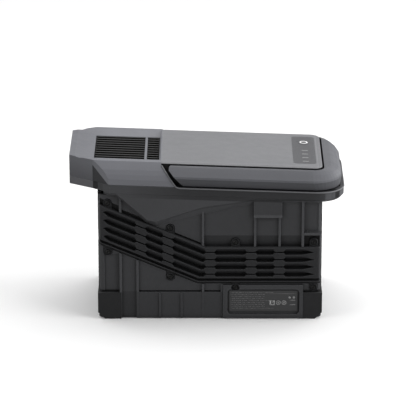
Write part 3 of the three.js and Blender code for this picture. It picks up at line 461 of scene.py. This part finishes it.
def light_guide(name, brightness, lit):
    """Milky plastic, faintly lit from behind."""
    material, tree, shader = new_material(name)
    cloud = noise(tree, millimetres(tree), 0.8, 2.0)
    milky = mix_colour(tree, cloud, grey(brightness * 0.9), grey(brightness))
    tree.links.new(milky, shader.inputs["Base Color"])
    shader.inputs["Roughness"].default_value = 0.3
    shader.inputs["Emission Color"].default_value = grey(1.0)
    tree.links.new(math_node(tree, "MULTIPLY", cloud, lit), shader.inputs["Emission Strength"])
    return material


def circuit_board(name):
    """Solder resist with copper tracks showing through."""
    material, tree, shader = new_material(name)
    inputs = {"Vector": millimetres(tree), "Scale": 0.25, "Mortar": (0.03, 0.2, 0.07, 1)}
    inputs.update({"Color1": (0.010, 0.09, 0.035, 1), "Color2": (0.016, 0.13, 0.050, 1)})
    tracks = add_node(tree, "ShaderNodeTexBrick", inputs, offset=0.3).outputs
    tree.links.new(tracks["Color"], shader.inputs["Base Color"])
    shader.inputs["Roughness"].default_value = 0.35
    add_bump(tree, shader, tracks["Fac"], 0.3, 0.03)
    return material


def shrink_wrap(name, colour):
    """Glossy cell wrap with slight wrinkles."""
    material, tree, shader = new_material(name)
    wrinkle = noise(tree, millimetres(tree), 0.35, 5.0)
    tree.links.new(mix_colour(tree, wrinkle, shaded(colour, 0.7), colour), shader.inputs["Base Color"])
    shader.inputs["Roughness"].default_value = 0.28
    add_bump(tree, shader, wrinkle, 0.3, 0.2)
    return material


def printed_film(name, colour, dots):
    """Satin film with a fine dot screen."""
    material, tree, shader = new_material(name)
    place = millimetres(tree)
    screen = add_node(tree, "ShaderNodeTexVoronoi", {"Vector": place, "Scale": 0.75, "Randomness": 0.55})
    dot = ramp(tree, screen.outputs["Distance"], 0.2, 0.5)
    tone = mix_colour(tree, noise(tree, place, 0.05, 4.0), colour, shaded(colour, 1.15))
    tree.links.new(mix_colour(tree, dot, tone, dots), shader.inputs["Base Color"])
    shader.inputs["Roughness"].default_value = 0.42
    add_bump(tree, shader, dot, 0.25, 0.03)
    return material


MATERIALS = {
    "housing_plastic": moulded_plastic(
        "housing_plastic",
        grey(0.056, 0.08),
        0.60,
        edge_wear_and_highlight=2.4,
        patches=[
            (left_overhang, 2.0),
            (rim_wall_painted_shade, 0.5),
            (right_corner_highlight, 1.5),
            (recess_shade_between(50.0, 58.3), 0.78),
            (recess_shade_between(50.0, 55.1), 0.18),
            (ledge_painted_shade, 0.62),
            (skirting_painted_shade, 0.72),
            (label_frame_shade, 0.8),
            (raised_pad_shade, 0.74),
            (over_feet_shadow, 0.3),
        ],
        darkest=0.35,
    ),
    "cover_plastic": moulded_plastic(
        "cover_plastic",
        grey(0.152, 0.125),
        0.52,
        edge_wear_and_highlight=1.4,
        patches=[
            (deck_painted_shadow, 0.03),
            # painted highlight: the upright corner facets lightened to the lit shoulder's brightness; below
            # the slanted line they take the dark housing colour
            (corner_facets, 1.12),
            (facet_foot, 0.18),
            (left_slope_shade, 0.87),
            (left_end_shade, 0.68),
            (shoulder_highlight_line, 1.15),
        ],
        darkest=0.8,
    ),
    "panel_plastic": moulded_plastic(
        "panel_plastic",
        grey(0.173, 0.06),
        0.46,
        relief=0.03,
        edge_wear_and_highlight=1.25,
        patches=[(panel_border_shade, 0.9), (panel_highlight_line, 1.16)],
        darkest=1.0,
    ),
    "handle_plastic": moulded_plastic(
        "handle_plastic", grey(0.108, 0.12), 0.50, edge_wear_and_highlight=1.5, patches=[(handle_underside_shade, 0.72)], darkest=0.7
    ),
    "dark_plastic": moulded_plastic("dark_plastic", grey(0.022), 0.66),
    "overlay_film": printed_film("overlay_film", grey(0.049, 0.08), grey(0.090, 0.08)),
    "light_guide": light_guide("light_guide", 0.85, 0.12),
    "led_bar": light_guide("led_bar", 0.24, 0.0),
    "rubber": rubber("rubber", grey(0.018, 0.05)),
    "label_film": printed_film("label_film", grey(0.045, 0.03), grey(0.052, 0.03)),
    "fastener_steel": metal("fastener_steel", grey(0.055), 0.55),
    "cell_wrap": shrink_wrap("cell_wrap", (0.04, 0.18, 0.33, 1)),
    "circuit_board": circuit_board("circuit_board"),
    "port_metal": metal("port_metal", grey(0.36), 0.3),
    "heat_sink_aluminium": metal("heat_sink_aluminium", grey(0.42), 0.38, brushed=0.2),
    "guard_plastic": moulded_plastic(
        "guard_plastic",
        grey(0.024, 0.08),
        0.62,
        edge_wear_and_highlight=3.4,
        patches=[(groove_shade, 0.32), (screw_lugs, 0.62)],
        darkest=0.5,
        shine=0.3,
    ),
    # near-black painted shadow, put where only shade would be seen: the panel's skirt, the louvres' sides and
    # the dust mesh
    "painted_groove_shadow": moulded_plastic("painted_groove_shadow", grey(0.006), 0.8, edge_wear_and_highlight=1.0, darkest=0.5, shine=0.12),
    # partly the cover's grey, partly a painted highlight along the lip
    "rim_bead": moulded_plastic("rim_bead", grey(0.130, 0.06), 0.45, darkest=0.9),
    "louvre": moulded_plastic("louvre", grey(0.043), 0.55, edge_wear_and_highlight=1.3, darkest=0.7),
    "print_ink": printed_film("print_ink", grey(0.16), grey(0.13)),
    "symbol_ink": printed_film("symbol_ink", grey(0.34), grey(0.30)),
}


# ---------------------------------------------------------------- mesh helpers

def laid_out(point):
    """A place in metres as millimetres in the layout's frame."""
    return Vector(point) / MM - LAYOUT


def fallen(point):
    """A point of the level cap, in millimetres, lowered onto the sloping cap."""
    x, y, z = point
    return Vector((x, y, z - CAP_FALL * x))


def new_piece(name, mesh_data, slot, look=None, replaces=()):
    """An object in metres from vertices in millimetres; it may stand in for CAD nodes."""
    vertices, faces = mesh_data
    mesh = bpy.data.meshes.new(name)
    mesh.from_pydata([(Vector(v) + LAYOUT) * MM for v in vertices], [], faces)
    mesh.validate()
    piece = bpy.data.objects.new(name, mesh)
    bpy.context.scene.collection.objects.link(piece)
    tidy_normals(mesh)
    mesh.materials.append(MATERIALS[look or slot])
    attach(piece, "station")
    if replaces:
        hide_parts(*replaces)
    return piece


def tidy_normals(mesh):
    """Joins doubled vertices, turns every face outward and shades smoothly."""
    work = bmesh.new()
    work.from_mesh(mesh)
    bmesh.ops.remove_doubles(work, verts=work.verts, dist=1e-6)
    bmesh.ops.recalc_face_normals(work, faces=work.faces)
    for face in work.faces:
        face.smooth = True
    work.to_mesh(mesh)
    work.free()


def round_edges(piece, width_mm):
    """Joins flat facets, rounds the sharp edges and evens out the shading."""
    flat = piece.modifiers.new("flat_faces", "DECIMATE")
    flat.decimate_type = "DISSOLVE"
    flat.angle_limit = math.radians(0.5)
    bevel = piece.modifiers.new("rounded_edges", "BEVEL")
    bevel.width = width_mm * MM
    bevel.segments = 2
    bevel.limit_method = "ANGLE"
    bevel.angle_limit = math.radians(28)
    bevel.miter_outer = "MITER_ARC"
    even = piece.modifiers.new("even_shading", "WEIGHTED_NORMAL")
    even.keep_sharp = True
    even.weight = 80


def carry(node, width_mm):
    """Finishes a CAD node whose shape is right: material, rounded edges and smooth shading."""
    piece = NODES[node]
    look = "led_bar" if node == "charge_light_guide" else SLOT_OF[node]
    piece.data.materials.clear()
    piece.data.materials.append(MATERIALS[look])
    for polygon in piece.data.polygons:
        polygon.use_smooth = True
    if width_mm:
        round_edges(piece, width_mm)


def grid_faces(columns, rows, closed=False):
    """Quads over a grid whose vertex (i, j) is number i * rows + j."""
    last = columns if closed else columns - 1
    quads = []
    for i in range(last):
        for j in range(rows - 1):
            a = i * rows + j
            b = ((i + 1) % columns) * rows + j
            quads.append((a, b, b + 1, a + 1))
    return quads


def merged(parts):
    """One (vertices, faces) pair from several."""
    vertices, faces = [], []
    for part_vertices, part_faces in parts:
        start = len(vertices)
        vertices.extend(part_vertices)
        faces.extend(tuple(start + i for i in face) for face in part_faces)
    return vertices, faces


def arc(centre, radius, start, end, steps):
    """Points in a plane on an arc, in degrees."""
    angles = [math.radians(start + (end - start) * i / steps) for i in range(steps + 1)]
    return [(centre[0] + radius * math.cos(a), centre[1] + radius * math.sin(a)) for a in angles]


def tongue(left, right, half, radius, steps=10):
    """Plan outline with a square left end and two round right corners."""
    corner = right - radius
    front = arc((corner, -half + radius), radius, -90, 0, steps)
    rear = arc((corner, half - radius), radius, 0, 90, steps)
    return front + rear + [(left, half), (left, -half)]


def rectangle(x0, y0, x1, y1):
    """Corner points of a rectangle."""
    return [(x0, y0), (x1, y0), (x1, y1), (x0, y1)]


def stack(outlines, place):
    """Closed skin over outlines with the same number of points; place(p, level) gives each vertex."""
    count = len(outlines[0][1])
    vertices = [place(p, level) for level, outline in outlines for p in outline]
    faces = []
    for k in range(len(outlines) - 1):
        for i in range(count):
            a, b = k * count + i, k * count + (i + 1) % count
            faces.append((a, b, b + count, a + count))
    faces.append(tuple(reversed(range(count))))
    faces.append(tuple(range((len(outlines) - 1) * count, len(outlines) * count)))
    return vertices, faces


# ---------------------------------------------------------------- rib guards

def band_height(x, offset):
    """Height of the line that keeps an offset from the band's centre line."""
    level = BAND_Z + offset
    sloping = BAND_Z + offset / math.cos(BAND_ANGLE) + math.tan(BAND_ANGLE) * (BAND_BEND - x)
    return max(level, sloping)


def bend_of(offset):
    """Where the line at an offset bends."""
    return BAND_BEND + offset * (1 / math.cos(BAND_ANGLE) - 1) / math.tan(BAND_ANGLE)


def smooth_step(value):
    """From zero to one with soft ends."""
    t = min(1.0, max(0.0, value))
    return t * t * (3 - 2 * t)


def groove_half_width(x):
    """Wide between pads, pinched at each pad, tapering to a point at both ends."""
    width = GROOVE_WIDE
    for pad in PADS:
        away = (abs(x - pad) - PAD_HALF) / PAD_RAMP
        width = min(width, GROOVE_NARROW + (GROOVE_WIDE - GROOVE_NARROW) * smooth_step(away))
    left_taper = smooth_step((x - GROOVE_LEFT) / LEFT_TAPER)
    right_taper = smooth_step((GROOVE_RIGHT - x) / RIGHT_TAPER)
    return max(0.05, width * min(left_taper, right_taper, 1.0))


def along(x, offset):
    """Moves a place along the band so that every line at an offset bends on the band's mitre."""
    reach = (BAND_RIGHT - BAND_BEND) if x > BAND_BEND else (BAND_BEND - BAND_LEFT)
    return x + (bend_of(offset) - BAND_BEND) * (1 - abs(x - BAND_BEND) / reach)


def band_profile(x):
    """(offset, distance from the object's middle plane) across the band at one place along it."""
    points = [(BAND_FOOT, BAND_BACK), (BAND_FOOT, BAND_FACE - 1.6), (BAND_FOOT + 0.5, BAND_FACE - 0.9)]
    points += [(BAND_FOOT + 1.2, BAND_FACE - 0.9), (BAND_FOOT + 1.4, BAND_FACE - GROOVE_DEPTH)]
    points += [(BAND_FOOT + 3.9, BAND_FACE - GROOVE_DEPTH), (BAND_FOOT + 4.1, BAND_FACE - 0.6)]
    points += [(BAND_FOOT + 4.5, BAND_FACE)]
    # Across a groove from lower to upper lip: (share of the half width, share of the depth, shift).
    across = [(-1.0, 0.0, -0.3), (-1.0, 0.15, 0.0), (-0.97, 0.8, 0.0), (-0.85, 1.0, 0.0), (-0.45, 0.95, 0.0)]
    across += [(0.0, 0.72, 0.0), (0.5, 0.42, 0.2), (0.95, 0.16, 0.5), (1.0, 0.0, 1.35)]
    for number in (-1.5, -0.5, 0.5, 1.5):
        centre = number * GROOVE_PITCH
        half = groove_half_width(along(x, centre))
        depth = GROOVE_DEPTH * smooth_step(half / 0.9) * (half > 0.06)
        for share, fall, extra in across:
            points.append((centre + share * half + extra * half / GROOVE_WIDE, BAND_FACE - fall * depth))
    points += [(BAND_TOP - 1.6, BAND_FACE), (BAND_TOP - 0.5, BAND_FACE - 0.4), (BAND_TOP, BAND_FACE - 1.4)]
    points += [(BAND_TOP, BAND_BACK)]
    return points


def band_columns():
    """Places along the band: close together where the grooves change, with one on the bend itself."""
    left, right = BAND_LEFT, BAND_RIGHT
    marks = {left, left + 0.6, left + 2.0, BAND_BEND, right - 2.0, right - 0.6, right}
    x = left + 3
    while x < right - 2.5:
        near = min(abs(abs(x - pad) - PAD_HALF - PAD_RAMP / 2) for pad in PADS)
        taper = min(abs(x - GROOVE_LEFT), abs(GROOVE_RIGHT - x))
        x += 0.8 if near < PAD_RAMP + 1.5 or taper < 3 else 2.0
        if abs(x - BAND_BEND) > 0.5 and x < right - 2.5:
            marks.add(x)
    return sorted(marks)


def guard_relief(side):
    """The band's ribbed face, its rounded ends and its back."""
    columns = band_columns()
    left, right = columns[0], columns[-1]
    vertices = []
    for x in columns:
        end = min(x - left, right - x)
        rounded = 1.4 * (1 - math.sqrt(max(0.0, 1 - (1 - min(end, 2.0) / 2.0) ** 2)))
        for offset, out in band_profile(x):
            shifted = along(x, offset)
            face = out if out <= BAND_BACK else max(BAND_BACK + 0.5, out - rounded)
            vertices.append((shifted, side * face, band_height(shifted, offset)))
    rows = len(band_profile(0.0))
    faces = grid_faces(len(columns), rows)
    for i in range(len(columns) - 1):
        faces.append((i * rows, i * rows + rows - 1, (i + 1) * rows + rows - 1, (i + 1) * rows))
    faces.append(tuple(range(rows)))
    faces.append(tuple(reversed(range((len(columns) - 1) * rows, len(columns) * rows))))
    return vertices, faces


def guard_screws():
    """Centres (x, z) of the eight screws of one side, from the CAD screws."""
    centres = []
    for number in range(1, 9):
        low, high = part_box(f"front_guard_screw_{number}")
        middle = laid_out((low + high) / 2)
        centres.append((middle.x, middle.z))
    return centres


def guard_tab(side, x, z, towards):
    """A lug with a raised ring round its screw; towards is 1 under the band and -1 over it."""
    start = 90 - 90 * towards
    outline = arc((0, 0), TAB_RADIUS, start, start - 180, 12)
    outline += [(-towards * TAB_RADIUS, TAB_REACH * towards), (towards * TAB_RADIUS, TAB_REACH * towards)]
    levels = [(BAND_BACK, 1.0), (TAB_FACE - 0.5, 1.0), (TAB_FACE, 0.93)]
    slab = stack(
        [(level, [(px * scale, pz * scale) for px, pz in outline]) for level, scale in levels],
        lambda p, level: (x + p[0], side * level, z + p[1]),
    )
    ring_profile = [(3.05, TAB_FACE - 0.4), (3.05, TAB_FACE + 0.9), (3.3, TAB_FACE + 1.1)]
    ring_profile += [(3.7, TAB_FACE + 1.0), (4.05, TAB_FACE - 0.4)]
    return merged([slab, revolve(side, x, z, ring_profile, closed=True)])


def revolve(side, x, z, profile, closed=False, segments=24):
    """A turned shape about an axis along Y through (x, z); profile holds (radius, distance out)."""
    vertices = []
    for i in range(segments):
        angle = 2 * math.pi * i / segments
        for radius, out in profile:
            vertices.append((x + radius * math.cos(angle), side * out, z + radius * math.sin(angle)))
    rows = len(profile)
    faces = grid_faces(segments, rows, closed=True)
    if closed:
        for i in range(segments):
            a, b = i * rows, ((i + 1) % segments) * rows
            faces.append((a + rows - 1, b + rows - 1, b, a))
    else:
        faces.append(tuple(i * rows for i in range(segments)))
        faces.append(tuple(i * rows + rows - 1 for i in reversed(range(segments))))
    return vertices, faces


def make_rib_guards():
    """The ribbed band with its screw lugs, on both long sides."""
    for side_name, side in SIDES.items():
        parts = [guard_relief(side)]
        for x, z in guard_screws():
            towards = 1 if z < band_height(x, 0) else -1
            parts.append(guard_tab(side, x, z, towards))
        guard = new_piece(
            f"{side_name}_ribbed_guard",
            merged(parts),
            "housing_plastic",
            look="guard_plastic",
            replaces=[f"{side_name}_rib_guard"],
        )
        even = guard.modifiers.new("even_shading", "WEIGHTED_NORMAL")
        even.keep_sharp = True
        mark_sharp(guard.data, 50)


def mark_sharp(mesh, degrees):
    """Keeps creases above an angle crisp under smooth shading."""
    work = bmesh.new()
    work.from_mesh(mesh)
    for edge in work.edges:
        if len(edge.link_faces) == 2 and edge.calc_face_angle(0) > math.radians(degrees):
            edge.smooth = False
    work.to_mesh(mesh)
    work.free()


def make_screws():
    """Round-headed screws with a plain round socket."""
    base, top, shank = SCREW_BASE, SCREW_BASE + SCREW_HEIGHT, SCREW_SHANK
    profile = [(0.01, top - 1.0), (1.15, top - 1.0), (1.25, top - 0.05), (1.45, top), (2.0, top - 0.15)]
    profile += [(2.4, top - 0.6), (SCREW_HEAD, base + 0.5), (SCREW_HEAD, base), (shank, base - 0.1)]
    profile += [(shank, base - 6.0), (0.01, base - 6.3)]
    for side_name, side in SIDES.items():
        for number, (x, z) in enumerate(guard_screws(), start=1):
            new_piece(
                f"{side_name}_socket_screw_{number}",
                revolve(side, x, z, profile),
                "fastener_steel",
                replaces=[f"{side_name}_guard_screw_{number}"],
            )


# ---------------------------------------------------------------- top of the cap

def make_top_panel():
    """A gently crowned panel: a rolled edge on three sides over a stepped-in skirt painted shadow black.

    Unlike the CAD panel it has no hole for the button, so a pressed button sinks into it.
    """
    left = DECK_LEFT - 0.9  # fills the rounded edge of the cover
    skirt = [(0.5, 2.5), (0.5, 1.5)]
    rolls = [(0.0, 1.4), (0.0, 1.1), (0.35, 0.75), (1.0, 0.48), (2.2, 0.3), (3.8, 0.18), (6.5, 0.1)]
    rolls += [(15.0, 0.03)]
    outlines = []
    for inset, drop in skirt + rolls:
        radius = max(1.5, DECK_CORNER - inset)
        outlines.append((CAP_TOP - drop, tongue(left, DECK_RIGHT - inset, DECK_HALF - inset, radius)))
    vertices, faces = stack(outlines, lambda p, level: fallen((p[0], p[1], level)))
    panel = new_piece("crowned_top_panel", (vertices, faces), "panel_plastic", replaces=["top_panel"])
    # the skirt below the rolled edge takes the near-black painted shadow
    panel.data.materials.append(MATERIALS["painted_groove_shadow"])
    for polygon in panel.data.polygons:
        centre = laid_out(polygon.center)
        if centre.z + CAP_FALL * centre.x < CAP_TOP - 1.42:
            polygon.material_index = 1
    mark_sharp(panel.data, 60)


def tube(path, radius, sides=8):
    """A round bead along a path of points in millimetres, with closed ends."""
    points = [Vector(p) for p in path]
    vertices, faces = [], []
    for i, centre in enumerate(points):
        ahead = points[min(i + 1, len(points) - 1)] - points[max(i - 1, 0)]
        across = Vector((0, 0, 1)).cross(ahead).normalized()
        upward = ahead.cross(across).normalized()
        for k in range(sides):
            angle = 2 * math.pi * k / sides
            vertices.append(centre + across * radius * math.cos(angle) + upward * radius * math.sin(angle))
    for i in range(len(points) - 1):
        for k in range(sides):
            a, b = i * sides + k, i * sides + (k + 1) % sides
            faces.append((a, b, b + sides, a + sides))
    faces.append(tuple(reversed(range(sides))))
    faces.append(tuple(range((len(points) - 1) * sides, len(points) * sides)))
    return vertices, faces


def make_rim_bead():
    """A moulded bead down the slanted end of each shoulder and along the rim under the handle; its pale
    plastic is partly the cover's grey and partly a painted highlight along the lip.
    """
    edge = [(DECK_LEFT + 0.4 + (SHOULDER[0][1] - z) * SLANT, half, z) for half, z in SHOULDER]
    edge += [(-31.2, RIM_HALF, 137.5), (-28.6, RIM_HALF, BEAD_LEVEL + 0.1), (-23.0, RIM_HALF, BEAD_LEVEL)]
    edge += [(x, RIM_HALF, BEAD_LEVEL) for x in (20.0, 60.0)]
    corner = RIM_RIGHT - RIM_CORNER
    turn = arc((corner, -RIM_HALF + RIM_CORNER), RIM_CORNER, -90, 0, 14)
    front = [(x, -y, z) for x, y, z in edge] + [(x, y, BEAD_LEVEL) for x, y in turn]
    rear = [(x, -y, z) for x, y, z in reversed(front)]
    path = [fallen(p) for p in front + rear]
    new_piece("rim_bead", tube(path, BEAD_RADIUS), "cover_plastic", look="rim_bead")


def vent_room():
    """Left end, right end and half width of the vent, from the CAD grille."""
    low, high = (laid_out(corner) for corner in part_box("vent_grille"))
    return low.x, high.x, high.y


def make_louvres():
    """Flat-topped louvre blades; the outer two are narrower and stand against the sides. Their sides are
    painted shadow black.
    """
    left, right, half = vent_room()
    parts = []
    for i in range(VENT_SPACES + 1):
        width = 0.5 if i in (0, VENT_SPACES) else 0.75
        shift = width if i == 0 else (-width if i == VENT_SPACES else 0.0)
        y = -half + i * 2 * half / VENT_SPACES + shift
        section = [(-width, -BLADE_DEEP), (-width, -0.5), (-width + 0.45, 0.0), (width - 0.45, 0.0)]
        section += [(width, -0.5), (width, -BLADE_DEEP)]
        outline = [(y + dy, VENT_TOP + dz) for dy, dz in section]
        ends = [(x, outline) for x in (left + 0.1, right - 0.1)]
        parts.append(stack(ends, lambda p, x: fallen((x, p[0], p[1]))))
    blades = new_piece("vent_louvres", merged(parts), "dark_plastic", look="louvre", replaces=["vent_grille"])
    # the blades' sides take the near-black painted shadow
    blades.data.materials.append(MATERIALS["painted_groove_shadow"])
    for polygon in blades.data.polygons:
        polygon.material_index = 0 if polygon.normal.z > 0.5 else 1
    mark_sharp(blades.data, 40)


def make_cross_bar():
    """The bar across the louvres, a little proud of them."""
    _, _, half = vent_room()
    section = [(-1.2, -4.0), (-1.2, -0.1), (-0.8, 0.25), (0.8, 0.25), (1.2, -0.1), (1.2, -4.0)]
    outline = [(VENT_BAR + dx, VENT_TOP + dz) for dx, dz in section]
    bar_mesh = stack([(-half, outline), (half, outline)], lambda p, y: fallen((p[0], y, p[1])))
    mark_sharp(new_piece("vent_cross_bar", bar_mesh, "cover_plastic").data, 40)


def make_dust_mesh():
    """Rows of small dished squares under the louvres, with a dark wall at each end, all painted shadow black.
    """
    left, right, half = vent_room()
    column, row = (right - left) / MESH_COLUMNS, 2 * half / MESH_ROWS
    parts = []
    for i in range(MESH_COLUMNS):
        for j in range(MESH_ROWS):
            x0, y0 = left + i * column, -half + j * row
            x1, y1 = x0 + column - MESH_GAP, y0 + row - MESH_GAP
            vertices = [fallen((x, y, MESH_LEVEL)) for x, y in rectangle(x0, y0, x1, y1)]
            dished = rectangle(x0 + 0.3, y0 + 0.3, x1 - 0.3, y1 - 0.3)
            vertices += [fallen((x, y, MESH_LEVEL - MESH_DIP)) for x, y in dished]
            faces = [(k, (k + 1) % 4, 4 + (k + 1) % 4, 4 + k) for k in range(4)]
            parts.append((vertices, faces + [(4, 5, 6, 7)]))
    for x in (left + 0.5, right - 0.5):
        low, high = VENT_TOP - 5.0, VENT_TOP - 0.15
        section = [(x - 0.4, low), (x - 0.4, high), (x + 0.4, high), (x + 0.4, low)]
        parts.append(stack([(-half, section), (half, section)], lambda p, y: fallen((p[0], y, p[1]))))
    # the whole mesh takes the near-black painted shadow
    new_piece("vent_dust_mesh", merged(parts), "dark_plastic", look="painted_groove_shadow")


# ---------------------------------------------------------------- label

def flat_patch(outline, front):
    """A thin printed patch on a face that looks to the front; outline holds (x, z) points."""
    levels = [(front, outline), (front - PRINT_THICKNESS, outline)]
    return stack(levels, lambda p, y: (p[0], y, p[1]))


def ring_patch(x, z, outer, inner, front, steps=20):
    """A thin printed ring on a face that looks to the front."""
    back = front - PRINT_THICKNESS
    vertices = []
    for i in range(steps):
        angle = 2 * math.pi * i / steps
        for radius, y in ((inner, front), (inner, back), (outer, back), (outer, front)):
            vertices.append((x + radius * math.cos(angle), y, z + radius * math.sin(angle)))
    faces = []
    for i in range(steps):
        for k in range(4):
            a, b = i * 4 + k, i * 4 + (k + 1) % 4
            c, d = ((i + 1) % steps) * 4 + (k + 1) % 4, ((i + 1) % steps) * 4 + k
            faces.append((a, b, c, d))
    return vertices, faces


def dashed_rows(rng, left, right, bottom, top, front):
    """Rows of dashes of random length, in place of text; the first row is taller."""
    parts = []
    for row in range(9):
        z = top - row * (top - bottom) / 8.6
        x, end = left, left + (0.52 if row % 4 else 0.66) * (right - left)
        tall = 0.62 if row == 0 else 0.42
        while x < end:
            stop = min(x + rng.uniform(1.2, 5.0), end)
            parts.append(flat_patch(rectangle(x, z - tall, stop, z), front))
            x = stop + rng.uniform(0.5, 0.9)
    return parts


def square_grid(rng, left, bottom, front, count=7, cell=0.72):
    """A square of small cells, filled along its border and at random within."""
    parts = []
    for i in range(count):
        for j in range(count):
            border = i in (0, count - 1) or j in (0, count - 1)
            if border or rng.random() < 0.45:
                x, z = left + i * cell, bottom + j * cell
                parts.append(flat_patch(rectangle(x, z, x + cell, z + cell), front))
    return parts


def make_label_print():
    """Generic marks only: ruled lines, dashes and plain geometric symbols."""
    low, high = (laid_out(corner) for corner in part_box("rating_label"))
    left, right = low.x + 2.0, high.x - 2.0
    bottom, top, front = low.z + 1.8, high.z - 1.8, low.y - 0.01
    ruler = left + 0.55 * (right - left)
    rng = random.Random(7)
    marks = dashed_rows(rng, left, right, bottom, top, front)
    marks.append(flat_patch(rectangle(ruler, top - 1.6, right, top - 1.2), front))
    signs = []
    for x in (ruler + 11.6, ruler + 17.2):
        signs.append(ring_patch(x, bottom + 7.0, 2.3, 1.7, front))
        signs.append(ring_patch(x, bottom + 7.0, 0.9, 0.3, front))
    for x in (right - 1.6, right - 5.8):
        signs.append(ring_patch(x, top - 5.4, 1.1, 0.2, front))
    signs += square_grid(rng, ruler + 3.0, bottom + 4.4, front)
    for z in (bottom + 4.6, bottom + 9.4):
        signs.append(flat_patch(rectangle(right - 5.6, z, right - 0.2, z + 0.45), front))
    new_piece("label_symbols", merged(signs), "label_film", look="symbol_ink")
    new_piece("label_marks", merged(marks), "label_film", look="print_ink")


# ---------------------------------------------------------------- assembly

def carried_widths():
    """Edge rounding in millimetres for every CAD node that is shown as it is."""
    widths = {name: 0.15 for name in NODES}
    widths.update({name: 0.5 for name in ("lower_housing", "upper_housing")})
    widths.update({name: 1.0 for name in NODES if name.endswith("_foot")})
    widths.update({"top_cover": 0.9, "handle": 1.4, "port_door": 0.4, "power_button": 0.3})
    widths.update({name: 0.0 for name in NODES if "cell_group" in name or "lead" in name})
    return widths


def camera_only(tree, seen, felt):
    """One value for the camera and another for the light that bounces."""
    path = add_node(tree, "ShaderNodeLightPath").outputs["Is Camera Ray"]
    return add_node(tree, "ShaderNodeMix", {0: path, 2: felt, 3: seen}).outputs[0]


def make_stage():
    """A pale floor that turns white for the camera away from the object."""
    bpy.ops.mesh.primitive_plane_add(size=30)
    floor = bpy.context.object
    floor.name = "studio_floor"
    material, tree, shader = new_material("studio_floor")
    level = camera_only(tree, FLOOR_SEEN, FLOOR_FELT)
    colour = add_node(tree, "ShaderNodeCombineColor", {"Red": level, "Green": level, "Blue": level})
    tree.links.new(colour.outputs[0], shader.inputs["Base Color"])
    shader.inputs["Roughness"].default_value = 0.9
    shader.inputs["Specular IOR Level"].default_value = 0.1
    place = add_node(tree, "ShaderNodeNewGeometry").outputs["Position"]
    away = add_node(tree, "ShaderNodeVectorMath", {0: place}, operation="LENGTH").outputs["Value"]
    far = ramp(tree, away, *FLOOR_FADE)
    seen_far = both(tree, far, add_node(tree, "ShaderNodeLightPath").outputs["Is Camera Ray"])
    white = add_node(tree, "ShaderNodeEmission", {"Color": grey(1.0), "Strength": 1.0}).outputs[0]
    mixed = add_node(tree, "ShaderNodeMixShader", {0: seen_far, 1: shader.outputs[0], 2: white}).outputs[0]
    tree.links.new(mixed, tree.nodes["Material Output"].inputs["Surface"])
    floor.data.materials.append(material)


def area_light(name, place, target, size, watts, mirrored=True):
    """A soft lamp; one that is not mirrored leaves no glare."""
    data = bpy.data.lights.new(name, "AREA")
    data.shape = "RECTANGLE"
    data.size, data.size_y = size
    data.energy = watts
    lamp = bpy.data.objects.new(name, data)
    lamp.location = place
    lamp.rotation_euler = (Vector(target) - Vector(place)).to_track_quat("-Z", "Y").to_euler()
    lamp.visible_glossy = mirrored
    bpy.context.scene.collection.objects.link(lamp)


def make_lights():
    """Pale surroundings and five soft lamps."""
    world = bpy.data.worlds.new("studio")
    bpy.context.scene.world = world
    world.use_nodes = True
    background = world.node_tree.nodes["Background"]
    background.inputs["Color"].default_value = grey(1.0)
    strength = camera_only(world.node_tree, SKY_SEEN, SKY_FELT)
    world.node_tree.links.new(strength, background.inputs["Strength"])
    area_light("top_softbox", (0.0, 0.5, 1.6), (0, 0, 0.1), (2.3, 1.8), 28)
    area_light("left_softbox", (-1.5, -0.9, 0.7), (0, 0, 0.08), (0.9, 1.1), 7)
    area_light("right_softbox", (1.6, -0.4, 0.6), (0, 0, 0.1), (1.7, 1.5), 38, mirrored=False)
    area_light("rear_left_fill", (-1.5, 1.0, 0.4), (0, 0, 0.08), (0.8, 0.6), 6)
    area_light("rear_right_fill", (1.5, 1.0, 0.4), (0, 0, 0.08), (0.8, 0.6), 6)


def make_camera():
    """A long lens at the photograph's viewing angle."""
    data = bpy.data.cameras.new("camera")
    data.sensor_width = SENSOR
    data.lens = CAMERA_LENS
    camera = bpy.data.objects.new("camera", data)
    away = Vector((0, -math.cos(CAMERA_ELEVATION), math.sin(CAMERA_ELEVATION)))
    camera.location = CAMERA_TARGET + away * CAMERA_DISTANCE
    camera.rotation_euler = (math.pi / 2 - CAMERA_ELEVATION, 0, 0)
    bpy.context.scene.collection.objects.link(camera)
    bpy.context.scene.camera = camera


make_rib_guards()
make_screws()
make_top_panel()
make_rim_bead()
make_louvres()
make_cross_bar()
make_dust_mesh()
make_label_print()
for node_name, edge_width in carried_widths().items():
    if not NODES[node_name].hide_render:
        carry(node_name, edge_width)
make_stage()
make_lights()
make_camera()
bpy.context.scene.view_settings.view_transform = "Standard"
